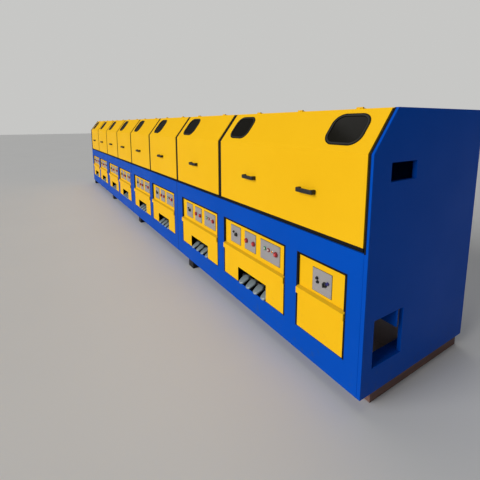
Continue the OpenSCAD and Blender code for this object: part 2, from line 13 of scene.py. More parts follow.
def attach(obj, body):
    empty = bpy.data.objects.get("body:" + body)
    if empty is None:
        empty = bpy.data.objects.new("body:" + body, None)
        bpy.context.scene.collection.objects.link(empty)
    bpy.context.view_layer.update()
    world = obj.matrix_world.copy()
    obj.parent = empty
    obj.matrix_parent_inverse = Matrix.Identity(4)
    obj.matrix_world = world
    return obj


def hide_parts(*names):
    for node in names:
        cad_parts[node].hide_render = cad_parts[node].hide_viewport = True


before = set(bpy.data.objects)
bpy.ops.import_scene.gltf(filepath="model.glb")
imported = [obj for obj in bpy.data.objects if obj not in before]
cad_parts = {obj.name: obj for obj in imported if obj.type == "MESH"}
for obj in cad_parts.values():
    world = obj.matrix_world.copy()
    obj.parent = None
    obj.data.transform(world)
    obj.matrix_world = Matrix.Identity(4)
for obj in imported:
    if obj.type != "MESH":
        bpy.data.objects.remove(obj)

LOG = logging.getLogger("wire_drawing_machine")
MM = 0.001
BLOCKS = 8
SECTIONS = 4
UPRIGHT = math.pi / 2
# Points nearer to each other than this in mm are made one
WELD = 0.001
# Heights nearer to each other than this in mm are the same
LEVEL = 0.01

Span = tuple[float, float]
Point = tuple[float, float, float]
BMesh = bmesh.types.BMesh
Material = bpy.types.Material
Node = bpy.types.Node
NodeSocket = bpy.types.NodeSocket
NodeTree = bpy.types.NodeTree


@dataclass(frozen=True)
class Layout:
    """The machine's main sizes in mm, as the frame has them."""

    post_w: float = 130.0
    joint_shift: float = 30.0
    recess_w: float = 850.0
    end_recess_w: float = 400.0
    wall_t: float = 25.0
    beam_h: float = 95.0
    base_h: float = 860.0
    base_d: float = 1150.0
    front_out: float = 13.0
    rear_out: float = 6.0
    sill_h: float = 175.0
    recess_h: float = 527.0
    panel_h: float = 229.0
    panel_inset: float = 14.0
    sheet_y: float = 318.0
    sheet_t: float = 12.0
    hood_gap: float = 54.0
    hood_end_gap: float = 17.0
    hood_inset: float = 10.0
    knee_h: float = 533.0
    roof_h: float = 773.0
    slope_run: float = 185.0

    @property
    def section_l(self) -> float:
        """Length of a base section with two recesses."""
        return 3 * self.post_w + 2 * self.recess_w

    @property
    def length(self) -> float:
        """Length of the whole machine."""
        return SECTIONS * self.section_l + self.joint_shift + self.end_recess_w + self.post_w

    @property
    def wall_x(self) -> float:
        """X of the near end wall's inner face, and the far one's with a minus."""
        return self.length / 2 - self.wall_t

    @property
    def front(self) -> float:
        """Y of the base front."""
        return -(self.base_d + self.front_out + self.rear_out) / 2 + self.front_out

    @property
    def rear(self) -> float:
        """Y of the rear sheets."""
        return self.front + self.base_d

    @property
    def face(self) -> float:
        """Y of the hood face."""
        return self.front + self.hood_inset

    @property
    def deck(self) -> float:
        """Z of the deck."""
        return self.beam_h + self.base_h

    @property
    def knee(self) -> float:
        """Z of the fold of the hoods."""
        return self.deck + self.knee_h

    @property
    def roof(self) -> float:
        """Z of the roof."""
        return self.deck + self.roof_h

    @property
    def sill(self) -> float:
        """Z of the recess sills."""
        return self.beam_h + self.sill_h

    @property
    def recess_top(self) -> float:
        """Z of the recesses' upper edge."""
        return self.sill + self.recess_h

    @property
    def panel_foot(self) -> float:
        """Z of the control panels' lower edge."""
        return self.recess_top - self.panel_h

    @property
    def slope(self) -> float:
        """Angle of the hoods' upper face above the horizon, in radians."""
        return math.atan2(self.roof_h - self.knee_h, self.slope_run)

    @property
    def end_bay(self) -> float:
        """X of the left edge of the recess of the end bay."""
        return self.section(SECTIONS) + self.joint_shift

    def inwards(self, near: float, far: float) -> Span:
        """Y of two distances from the base front."""
        return self.front + near, self.front + far

    def section(self, i: int) -> float:
        """X of the left edge of base section i."""
        return -self.length / 2 + i * self.section_l

    def block(self, k: int) -> float:
        """X of the left edge of the recess of block k."""
        return self.section(k // 2) + self.joint_shift + self.post_w + (k % 2) * (self.recess_w + self.post_w)

    def hood_line(self, k: int) -> float:
        """Finds the line between two hoods, or the inner face of an end wall.

        Args:
            k: Number of the line, from 0 at the far end wall.

        Returns:
            Its X.
        """
        if k in (0, BLOCKS):
            return self.wall_x if k else -self.wall_x
        return self.section(k // 2) + (k % 2) * (1.5 * self.post_w + self.recess_w)

    def hood_left(self, k: int) -> float:
        """X of the left edge of hood k."""
        return self.hood_line(k) + (self.hood_end_gap if k == 0 else self.hood_gap / 2)

    def hood_right(self, k: int) -> float:
        """X of the right edge of hood k."""
        return self.hood_line(k + 1) - (self.hood_end_gap if k == BLOCKS - 1 else self.hood_gap / 2)


def linear(hex_colour: str) -> tuple[float, float, float, float]:
    """Turns an sRGB hex colour to linear RGBA.

    Args:
        hex_colour: Six hex digits after a hash sign.

    Returns:
        The linear colour with an alpha of 1.
    """
    parts = [int(hex_colour[i : i + 2], 16) / 255 for i in (1, 3, 5)]
    rgb = [c / 12.92 if c <= 0.04045 else ((c + 0.055) / 1.055) ** 2.4 for c in parts]
    return rgb[0], rgb[1], rgb[2], 1.0


def per(size: float) -> float:
    """Turns the size of a pattern in mm to its scale."""
    return 1 / (size * MM)


def feed(node: Node, inputs: dict[str | int, object]) -> None:
    """Sets or links a node's inputs.

    Args:
        node: The node.
        inputs: Name or number of each socket, with a value, an output socket, or a node whose first
            output in use feeds it.
    """
    for key, value in inputs.items():
        if isinstance(key, str):
            socket = next(s for s in node.inputs if s.enabled and s.name == key)
        else:
            socket = node.inputs[key]
        if isinstance(value, Node):
            value = next(s for s in value.outputs if s.enabled)
        if isinstance(value, NodeSocket):
            node.id_data.links.new(value, socket)
        else:
            socket.default_value = value


def add(tree: NodeTree, kind: str, inputs: dict[str | int, object] | None = None, **settings: object) -> Node:
    """Adds one node with its settings and links.

    Args:
        tree: The node tree.
        kind: The node's type, without its prefix.
        inputs: What feeds it, as feed takes it.
        settings: The node's own settings.

    Returns:
        The new node.
    """
    node = tree.nodes.new(f"ShaderNode{kind}")
    for name, value in settings.items():
        setattr(node, name, value)
    feed(node, inputs or {})
    return node


def new_material(name: str) -> tuple[Material, NodeTree, NodeSocket, Node]:
    """Makes an empty node material.

    Args:
        name: The finish's name.

    Returns:
        The material, its node tree, the Object coordinates, and the shader.
    """
    material = bpy.data.materials.new(name)
    material.use_nodes = True
    tree = material.node_tree
    tree.nodes.clear()
    shader = add(tree, "BsdfPrincipled")
    add(tree, "OutputMaterial", {"Surface": shader})
    return material, tree, add(tree, "TexCoord").outputs["Object"], shader


class Grade(Enum):
    """How a moulded plastic comes out of its tool."""

    GLOSSY = 0.28
    SATIN = 0.42
    MATT = 0.6


@dataclass(frozen=True)
class Well:
    """A box in mm in which the surface takes another colour: painted shade, or primer painted paler as
    painted light.
    """

    x: Span
    y: Span
    z: Span
    colour: str


@dataclass(frozen=True)
class PowderCoat:
    """Powder coat on folded steel sheet, sprayed and baked: an even satin skin with a slight orange peel."""

    name: str
    colour: str
    shade: str
    scuff: str
    scuff_top: float = 0.0
    peel: float = 7.0
    roughness: float = 0.42
    wells: tuple[Well, ...] = ()

    def build(self) -> Material:
        """Makes the material.

        Returns:
            The material, with cloudy tone, orange peel, scuffs near the floor, and painted shade or painted
            light in its wells.
        """
        material, tree, place, shader = new_material(self.name)
        cloud = add(tree, "TexNoise", {"Vector": place, "Scale": per(600), "Detail": 3.0})
        paint = add(tree, "Mix", {"Factor": cloud, "A": linear(self.colour), "B": linear(self.shade)},
                    data_type="RGBA")
        # Shoes and pallets rub the paint up to about knee height
        height = add(tree, "SeparateXYZ", {"Vector": place})
        low = add(tree, "MapRange", {"Value": height.outputs["Z"], "From Min": self.scuff_top * MM,
                                     "From Max": 0.0})
        marks = add(tree, "TexNoise", {"Vector": place, "Scale": per(45), "Detail": 6.0, "Roughness": 0.7})
        worn = add(tree, "MapRange", {"Value": marks, "From Min": 0.56, "From Max": 0.72, "To Max": 0.75})
        both = add(tree, "Math", {0: low, 1: worn}, operation="MULTIPLY")
        paint = add(tree, "Mix", {"Factor": both, "A": paint, "B": linear(self.scuff)}, data_type="RGBA")
        # Each well paints shade or light into the colour inside its box
        for well in self.wells:
            inside = self.inside(tree, place, well)
            paint = add(tree, "Mix", {"Factor": inside, "A": paint, "B": linear(well.colour)},
                        data_type="RGBA")
        # Real orange peel is 1 to 3 mm across; it is drawn coarser so that it shows
        peel = add(tree, "TexNoise", {"Vector": place, "Scale": per(self.peel), "Detail": 1.0})
        bump = add(tree, "Bump", {"Height": peel, "Strength": 0.06, "Distance": MM})
        gloss = add(tree, "MapRange", {"Value": cloud, "From Min": 0.3, "From Max": 0.7,
                                       "To Min": self.roughness - 0.04, "To Max": self.roughness + 0.06})
        feed(shader, {"Base Color": paint, "Normal": bump, "Roughness": gloss, "IOR": 1.5,
                      "Specular IOR Level": 0.04})
        return material

    def inside(self, tree: NodeTree, place: NodeSocket, well: Well) -> Node:
        """Tells where a point lies in a well.

        Args:
            tree: The material's node tree.
            place: The Object coordinates.
            well: The box.

        Returns:
            A node that gives 1 inside the box and 0 outside it.
        """
        middle = [(low + high) / 2 * MM for low, high in (well.x, well.y, well.z)]
        half = [(high - low) / 2 * MM for low, high in (well.x, well.y, well.z)]
        off = add(tree, "VectorMath", {0: place, 1: middle}, operation="SUBTRACT")
        size = add(tree, "VectorMath", {0: off}, operation="ABSOLUTE")
        over = add(tree, "VectorMath", {0: size, 1: half}, operation="SUBTRACT")
        part = add(tree, "SeparateXYZ", {"Vector": over}).outputs
        flat = add(tree, "Math", {0: part["X"], 1: part["Y"]}, operation="MAXIMUM")
        most = add(tree, "Math", {0: flat, 1: part["Z"]}, operation="MAXIMUM")
        return add(tree, "Math", {0: most, 1: 0.0}, operation="LESS_THAN")


@dataclass(frozen=True)
class Rubber:
    """Extruded EPDM rubber: matt, with a faint bloom that greys it in patches."""

    name: str
    colour: str
    bloom: str

    def build(self) -> Material:
        """Makes the material.

        Returns:
            The material, dull and patchy.
        """
        material, tree, place, shader = new_material(self.name)
        patch = add(tree, "TexNoise", {"Vector": place, "Scale": per(110), "Detail": 5.0})
        tone = add(tree, "Mix", {"Factor": patch, "A": linear(self.colour), "B": linear(self.bloom)},
                   data_type="RGBA")
        grain = add(tree, "TexNoise", {"Vector": place, "Scale": per(1.7), "Detail": 2.0})
        bump = add(tree, "Bump", {"Height": grain, "Strength": 0.15, "Distance": 0.5 * MM})
        feed(shader, {"Base Color": tone, "Normal": bump, "Roughness": 0.72, "IOR": 1.52,
                      "Specular IOR Level": 0.2})
        return material


@dataclass(frozen=True)
class MouldedPlastic:
    """Injection-moulded ABS or nylon: even colour, with the fine spark-eroded grain of its mould."""

    name: str
    colour: str
    grade: Grade

    def build(self) -> Material:
        """Makes the material.

        Returns:
            The material, as glossy as its grade.
        """
        material, tree, place, shader = new_material(self.name)
        flow = add(tree, "TexNoise", {"Vector": place, "Scale": per(25), "Detail": 2.0})
        value = add(tree, "MapRange", {"Value": flow, "To Min": 0.92, "To Max": 1.06})
        tone = add(tree, "HueSaturation", {"Color": linear(self.colour), "Value": value})
        grain = add(tree, "TexNoise", {"Vector": place, "Scale": per(0.5), "Detail": 1.0})
        bump = add(tree, "Bump", {"Height": grain, "Strength": 0.1, "Distance": 0.3 * MM})
        feed(shader, {"Base Color": tone, "Normal": bump, "Roughness": self.grade.value, "IOR": 1.53})
        return material


@dataclass(frozen=True)
class BrushedAluminium:
    """Anodised aluminium sheet, brushed along its length: a grey sheen with fine lines."""

    name: str = "anodised_aluminium_brushed"
    colour: str = "#ABA7A7"

    def build(self) -> Material:
        """Makes the material.

        Returns:
            The material, with its brush lines along X.
        """
        material, tree, place, shader = new_material(self.name)
        # Brush lines are finer than 0.2 mm; they are drawn about 1 mm apart so that they show
        lines = add(tree, "Mapping", {"Vector": place, "Scale": (per(170), per(170), per(1.1))})
        brush = add(tree, "TexNoise", {"Vector": lines, "Scale": 1.0, "Detail": 3.0})
        value = add(tree, "MapRange", {"Value": brush, "To Min": 0.8, "To Max": 1.15})
        tone = add(tree, "HueSaturation", {"Color": linear(self.colour), "Value": value})
        rough = add(tree, "MapRange", {"Value": brush, "To Min": 0.36, "To Max": 0.56})
        bump = add(tree, "Bump", {"Height": brush, "Strength": 0.08, "Distance": 0.3 * MM})
        feed(shader, {"Base Color": tone, "Normal": bump, "Roughness": rough, "Metallic": 0.35})
        return material


@dataclass(frozen=True)
class HammerPaint:
    """Hammer-finish enamel on cast iron: a grey skin drawn into shallow round dimples."""

    name: str
    colour: str
    shade: str
    dimple: float = 6.0

    def build(self) -> Material:
        """Makes the material.

        Returns:
            The material, with dimples and unevenly worn tone.
        """
        material, tree, place, shader = new_material(self.name)
        cells = add(tree, "TexVoronoi", {"Vector": place, "Scale": per(self.dimple)}, feature="SMOOTH_F1")
        wear = add(tree, "TexNoise", {"Vector": place, "Scale": per(70), "Detail": 4.0})
        amount = add(tree, "Math", {0: cells, 1: wear}, operation="MULTIPLY")
        tone = add(tree, "Mix", {"Factor": amount, "A": linear(self.colour), "B": linear(self.shade)},
                   data_type="RGBA")
        bump = add(tree, "Bump", {"Height": cells, "Strength": 0.35, "Distance": MM})
        feed(shader, {"Base Color": tone, "Normal": bump, "Roughness": 0.4, "Metallic": 0.25})
        return material


@dataclass(frozen=True)
class TurnedSteel:
    """Hardened steel, turned and ground: bright, with fine rings along its axis."""

    name: str
    colour: str = "#C3C4C6"
    pitch: float = 2.5
    axis: Point = (0.0, 0.0, 1.0)

    def build(self) -> Material:
        """Makes the material.

        Returns:
            The material, with its rings across the axis.
        """
        material, tree, place, shader = new_material(self.name)
        # Tool marks are 0.2 mm apart; they are drawn coarser so that they show
        scale = [a * per(self.pitch) + per(2000) for a in self.axis]
        rings = add(tree, "Mapping", {"Vector": place, "Scale": scale})
        marks = add(tree, "TexNoise", {"Vector": rings, "Scale": 1.0, "Detail": 4.0})
        value = add(tree, "MapRange", {"Value": marks, "To Min": 0.82, "To Max": 1.1})
        tone = add(tree, "HueSaturation", {"Color": linear(self.colour), "Value": value})
        rough = add(tree, "MapRange", {"Value": marks, "To Min": 0.2, "To Max": 0.42})
        feed(shader, {"Base Color": tone, "Roughness": rough, "Metallic": 1.0})
        return material


@dataclass(frozen=True)
class Primer:
    """Red-brown primer brushed on rolled steel: dull, streaked, with rust where it is thin."""

    name: str = "primer_on_rolled_steel"
    colour: str = "#6E5047"
    rust: str = "#8A6250"
    # Near black: painted shade on the beams that stand in the machine's shadow
    painted_beam_shade: str = "#171310"
    beam_shade_end: float = 4000.0

    def build(self) -> Material:
        """Makes the material.

        Returns:
            The material, painted near black as painted shade on every beam but the one at the near end, for
            the shadow under the machine.
        """
        material, tree, place, shader = new_material(self.name)
        streaks = add(tree, "Mapping", {"Vector": place, "Scale": (per(55), per(330), per(25))})
        grain = add(tree, "TexNoise", {"Vector": streaks, "Scale": 1.0, "Detail": 7.0, "Roughness": 0.65})
        thin = add(tree, "MapRange", {"Value": grain, "From Min": 0.42, "From Max": 0.68})
        tone = add(tree, "Mix", {"Factor": thin, "A": linear(self.colour), "B": linear(self.rust)},
                   data_type="RGBA")
        # Beams short of the near end are painted near black, painted shade for the shadow under the machine
        along = add(tree, "SeparateXYZ", {"Vector": place})
        shaded_beams = add(tree, "Math", {0: along, 1: self.beam_shade_end * MM}, operation="LESS_THAN")
        coat = add(tree, "Mix", {"Factor": shaded_beams, "A": tone, "B": linear(self.painted_beam_shade)}, data_type="RGBA")
        bump = add(tree, "Bump", {"Height": grain, "Strength": 0.3, "Distance": MM})
        feed(shader, {"Base Color": coat, "Normal": bump, "Roughness": 0.75})
        return material


@dataclass(frozen=True)
class SmokedPane:
    """Smoked polycarbonate sheet: nearly black seen from outside, glossy, with faint wiping marks."""

    name: str = "smoked_polycarbonate"
    colour: str = "#15130D"

    def build(self) -> Material:
        """Makes the material.

        Returns:
            The material, with its gloss dulled in swirls.
        """
        material, tree, place, shader = new_material(self.name)
        wipes = add(tree, "TexNoise", {"Vector": place, "Scale": per(80), "Detail": 3.0, "Distortion": 1.5})
        rough = add(tree, "MapRange", {"Value": wipes, "To Min": 0.06, "To Max": 0.2})
        value = add(tree, "MapRange", {"Value": wipes, "To Min": 0.85, "To Max": 1.1})
        tone = add(tree, "HueSaturation", {"Color": linear(self.colour), "Value": value})
        feed(shader, {"Base Color": tone, "Roughness": rough, "IOR": 1.58, "Specular IOR Level": 0.12})
        return material


@dataclass(frozen=True)
class LampLens:
    """Tinted polycarbonate lens of a signal lamp: clear, ribbed inside, unlit."""

    name: str
    colour: str

    def build(self) -> Material:
        """Makes the material.

        Returns:
            The material, glossy over its ribs.
        """
        material, tree, place, shader = new_material(self.name)
        ribs = add(tree, "TexVoronoi", {"Vector": place, "Scale": per(2.5)})
        value = add(tree, "MapRange", {"Value": ribs, "To Min": 1.1, "To Max": 0.8})
        tone = add(tree, "HueSaturation", {"Color": linear(self.colour), "Value": value})
        bump = add(tree, "Bump", {"Height": ribs, "Strength": 0.2, "Distance": 0.5 * MM})
        feed(shader, {"Base Color": tone, "Normal": bump, "Roughness": 0.15, "IOR": 1.58,
                      "Coat Weight": 0.4})
        return material


@dataclass
class Finishes:
    """Every finish of the machine, built once, and the places in mm where painted shade or painted light
    changes the paint's colour.

    Their Y is counted from the base front, and their Z from the panels' lower edge for the ledge, from the
    sills for the mouths of the foot wells, and from the beams for the end bay. The end bay's X is counted
    from the end wall.
    """

    layout: Layout
    # Darker yellow: painted shade on the covers' ledge
    painted_ledge_shade: str = "#DDB020"
    # Near black: painted shade in the foot wells and on their sills
    painted_well_shade: str = "#0B0D12"
    # Primer painted much paler: painted light inside the end bay
    primer_and_painted_light: str = "#E0D2C4"
    ledge_y: Span = (-12.5, 16.0)
    ledge_z: Span = (-11.0, 1.0)
    mouth_y: Span = (3.0, 53.0)
    mouth_z: Span = (-1.0, 1.5)
    well_y: Span = (52.0, 332.0)
    bay_x: Span = (-331.0, -60.5)
    bay_y: Span = (90.0, 488.0)
    bay_z: Span = (43.0, 618.0)
    sheet_clear: float = 0.5

    def __post_init__(self) -> None:
        """Builds the materials."""
        blue = PowderCoat("powder_coat_blue", "#0050BE", "#0048AE", "#39506B", scuff_top=340.0)
        yellow = PowderCoat("powder_coat_yellow", "#FBC41C", "#F3B913", "#B08A2A", scuff_top=420.0)
        self.blue = blue.build()
        # The cabinet's blue carries painted shade in the foot wells and painted light in the end bay
        self.cabinet = replace(blue, name="powder_coat_blue_cabinet", wells=self.insides()).build()
        self.yellow = yellow.build()
        # The covers' yellow carries painted shade on their ledge
        self.cover_yellow = replace(yellow, name="powder_coat_yellow_covers", wells=(self.ledge(),)).build()
        self.black_paint = PowderCoat("powder_coat_black", "#17181A", "#1D1F22", "#2B2B2B").build()
        self.seal = Rubber("epdm_rubber_black", "#060605", "#0D0D0B").build()
        self.filler = Rubber("epdm_rubber_grey", "#2A2A26", "#333330").build()
        self.primer = Primer().build()
        self.aluminium = BrushedAluminium().build()
        self.red = MouldedPlastic("moulded_plastic_red", "#DC3C3E", Grade.GLOSSY).build()
        self.dark_red = MouldedPlastic("moulded_plastic_dark_red", "#96202A", Grade.SATIN).build()
        self.green = MouldedPlastic("moulded_plastic_green", "#2C8A56", Grade.SATIN).build()
        self.black = MouldedPlastic("moulded_plastic_black", "#101011", Grade.MATT).build()
        self.violet = MouldedPlastic("moulded_plastic_violet", "#2E2C78", Grade.SATIN).build()
        self.white = MouldedPlastic("moulded_plastic_white", "#E6E4DE", Grade.SATIN).build()
        self.pale_lens = LampLens("lamp_lens_pale", "#D8D4C8").build()
        self.amber_lens = LampLens("lamp_lens_amber", "#E88A1A").build()
        self.hammer = HammerPaint("hammer_enamel_grey", "#96A3A6", "#758286").build()
        self.shaft_steel = TurnedSteel("ground_steel_shaft", axis=(1.0, 0.0, 0.0)).build()
        self.capstan_steel = TurnedSteel("turned_steel_capstan").build()
        self.pane = SmokedPane().build()

    def ledge(self) -> Well:
        """Finds the ledge on top of the lower covers, painted darker as painted shade.

        Returns:
            One box along the whole machine.
        """
        lay = self.layout
        low, high = self.ledge_z
        # The ledge's box takes a darker yellow, painted shade
        return Well((-lay.length, lay.length), lay.inwards(*self.ledge_y),
                    (lay.panel_foot + low, lay.panel_foot + high), self.painted_ledge_shade)

    def insides(self) -> tuple[Well, ...]:
        """Finds the insides of the cabinets where shade and light are painted into the colour.

        Returns:
            The foot wells' sills and the foot wells in painted shade, each as one long box, and both sides of
            the end bay's inner sheet in primer painted paler as painted light.
        """
        lay = self.layout
        row = (-lay.length, lay.end_bay - lay.wall_t)
        low, high = self.mouth_z
        # Near-black boxes: painted shade in the foot wells and on the sills at their mouths
        wells = [Well(row, lay.inwards(*depth), (lay.sill + low, top), self.painted_well_shade)
                 for depth, top in ((self.mouth_y, lay.sill + high), (self.well_y, lay.panel_foot + low))]
        left, right = self.bay_x
        near, far = self.bay_y
        low, high = self.bay_z
        # Pale boxes: primer painted paler to stand in for light inside the end bay
        for depth in ((near, lay.sheet_y - lay.sheet_t - self.sheet_clear),
                      (lay.sheet_y + self.sheet_clear, far)):
            wells.append(Well((lay.wall_x + left, lay.wall_x + right), lay.inwards(*depth),
                              (lay.beam_h + low, lay.beam_h + high), self.primer_and_painted_light))
        return tuple(wells)


def as_piece(bm: BMesh, name: str, finish: Material, body: str = "frame",
             sharp: float = 40.0) -> bpy.types.Object:
    """Turns a finished bmesh in mm to a piece that rides on a body.

    Args:
        bm: The shape in mm, in the frame's axes. It is freed.
        name: The piece's name.
        finish: Its material.
        body: The body that it moves with.
        sharp: Edges steeper than this angle stay sharp, in degrees.

    Returns:
        The new object.
    """
    bmesh.ops.remove_doubles(bm, verts=bm.verts, dist=WELD)
    bmesh.ops.recalc_face_normals(bm, faces=bm.faces)
    bmesh.ops.scale(bm, vec=(MM, MM, MM), verts=bm.verts)
    mesh = bpy.data.meshes.new(name)
    bm.to_mesh(mesh)
    bm.free()
    mesh.shade_smooth()
    mesh.set_sharp_from_angle(angle=math.radians(sharp))
    mesh.materials.append(finish)
    obj = bpy.data.objects.new(name, mesh)
    bpy.context.scene.collection.objects.link(obj)
    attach(obj, body)
    LOG.info("%s: %d faces on %s", name, len(mesh.polygons), body)
    return obj


def at(x: float = 0.0, y: float = 0.0, z: float = 0.0, turn: float = 0.0, axis: str = "X") -> Matrix:
    """Makes the matrix that turns a shape about an axis through the origin, then moves it to a place."""
    return Matrix.Translation((x, y, z)) @ Matrix.Rotation(turn, 4, axis)


def copies(part: BMesh, spots: list[Matrix], bm: BMesh | None = None) -> BMesh:
    """Puts a copy of a shape at every spot.

    Args:
        part: The shape. It is freed.
        spots: Where the copies go.
        bm: The bmesh that grows, or none for a new one.

    Returns:
        The bmesh with the copies.
    """
    bm = bm or bmesh.new()
    mesh = bpy.data.meshes.new("copy")
    for spot in spots:
        part.to_mesh(mesh)
        mesh.transform(spot)
        bm.from_mesh(mesh)
    bpy.data.meshes.remove(mesh)
    part.free()
    return bm


def bevel(bm: BMesh, geom: list, size: float, steps: int, affect: str = "EDGES") -> None:
    """Rounds edges or corners.

    Args:
        bm: The shape.
        geom: The edges, or the vertices at the corners.
        size: Size of the rounding in mm.
        steps: Steps in the rounding.
        affect: EDGES, or VERTICES for the corners of a flat face.
    """
    bmesh.ops.bevel(bm, geom=geom, offset=size, offset_type="OFFSET", affect=affect, segments=steps,
                    profile=0.5, material=-1)


def inset(bm: BMesh, faces: list, width: float, rise: float = 0.0) -> None:
    """Insets faces, one by one.

    Args:
        bm: The shape.
        faces: The faces.
        width: How far inwards in mm.
        rise: How far outwards in mm.
    """
    bmesh.ops.inset_individual(bm, faces=faces, thickness=width, depth=rise, use_even_offset=True)


def turned(points: list[Span], steps: int = 32) -> BMesh:
    """Turns a profile round the Z axis.

    Args:
        points: Radius and height of each point, from the axis outwards and back.
        steps: Number of steps round.

    Returns:
        A new bmesh in mm.
    """
    bm = bmesh.new()
    verts = [bm.verts.new((r, 0, h)) for r, h in points]
    edges = [bm.edges.new(pair) for pair in zip(verts, verts[1:])]
    bmesh.ops.spin(bm, geom=verts + edges, cent=(0, 0, 0), axis=(0, 0, 1), angle=math.tau,
                   steps=steps, use_merge=True)
    bmesh.ops.remove_doubles(bm, verts=bm.verts, dist=WELD)
    return bm


def soft_box(size: Point, edge: float, steps: int) -> BMesh:
    """Makes a box with rounded edges, its middle at the origin.

    Args:
        size: Its sizes in mm.
        edge: Size of the rounding in mm.
        steps: Steps in the rounding.

    Returns:
        A new bmesh in mm.
    """
    bm = bmesh.new()
    bmesh.ops.create_cube(bm, size=1.0)
    bmesh.ops.scale(bm, vec=size, verts=bm.verts)
    bevel(bm, bm.edges[:], edge, steps)
    return bm


def rounded_plate(width: float, height: float, radius: float, steps: int = 10) -> BMesh:
    """Makes a flat face with round corners, its lower left corner at the origin.

    Args:
        width: Size along X in mm.
        height: Size along Y in mm.
        radius: Corner radius in mm.
        steps: Steps in each corner.

    Returns:
        A new bmesh with one face.
    """
    bm = bmesh.new()
    bmesh.ops.create_grid(bm, x_segments=1, y_segments=1, size=0.5)
    bmesh.ops.translate(bm, vec=(0.5, 0.5, 0), verts=bm.verts)
    bmesh.ops.scale(bm, vec=(width, height, 1), verts=bm.verts)
    bevel(bm, bm.verts[:], radius, steps, "VERTICES")
    return bm


def thicken(bm: BMesh, height: float) -> None:
    """Gives flat faces a height.

    Args:
        bm: A bmesh of flat faces in the XY plane.
        height: How far they are raised along Z in mm.
    """
    made = bmesh.ops.extrude_face_region(bm, geom=bm.faces[:], use_keep_orig=True)
    verts = [g for g in made["geom"] if isinstance(g, bmesh.types.BMVert)]
    bmesh.ops.translate(bm, vec=(0, 0, height), verts=verts)


def soften_top(bm: BMesh, height: float, radius: float) -> None:
    """Rounds the edges that lie at a height.

    Args:
        bm: The shape.
        height: Height of the edges in mm.
        radius: Size of the rounding in mm.
    """
    edges = [e for e in bm.edges if all(abs(v.co.z - height) < LEVEL for v in e.verts)
             and len(e.link_faces) == 2 and e.calc_face_angle(0) > 0.7]
    bevel(bm, edges, radius, 3)


def slab(width: float, height: float, depth: float, *, corner: float, steps: int = 2,
         edge: float = 0.0) -> BMesh:
    """Makes a plate with round corners, flat on the XY plane, its lower left corner at the origin.

    Args:
        width: Size along X in mm.
        height: Size along Y in mm.
        depth: Its thickness in mm.
        corner: Corner radius in mm.
        steps: Steps in each corner.
        edge: Rounding of its upper edge in mm, or 0 to leave it sharp.

    Returns:
        A new bmesh in mm.
    """
    bm = rounded_plate(width, height, corner, steps)
    thicken(bm, depth)
    if edge:
        soften_top(bm, depth, edge)
    return bm


def dress(names: list[str], finish: Material, fold: float = 0.0) -> None:
    """Gives CAD nodes their finish and softened edges.

    Args:
        names: The nodes.
        finish: Their material.
        fold: Radius of their edges in mm, or 0 to leave them as they are.
    """
    for name in names:
        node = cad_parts[name]
        node.data.materials.clear()
        node.data.materials.append(finish)
        if fold:
            weld = node.modifiers.new("weld", "WELD")
            weld.merge_threshold = 0.02 * MM
            edge = node.modifiers.new("fold", "BEVEL")
            edge.width = fold * MM
            edge.segments = 2
            edge.limit_method = "ANGLE"
            edge.angle_limit = math.radians(35)
            edge.harden_normals = False
            even = node.modifiers.new("even", "WEIGHTED_NORMAL")
            even.keep_sharp = True
        LOG.info("%s: %s", name, finish.name)


@dataclass
class Assembly:
    """What every sub-assembly has: the finishes and the machine's sizes."""

    finishes: Finishes
    layout: Layout


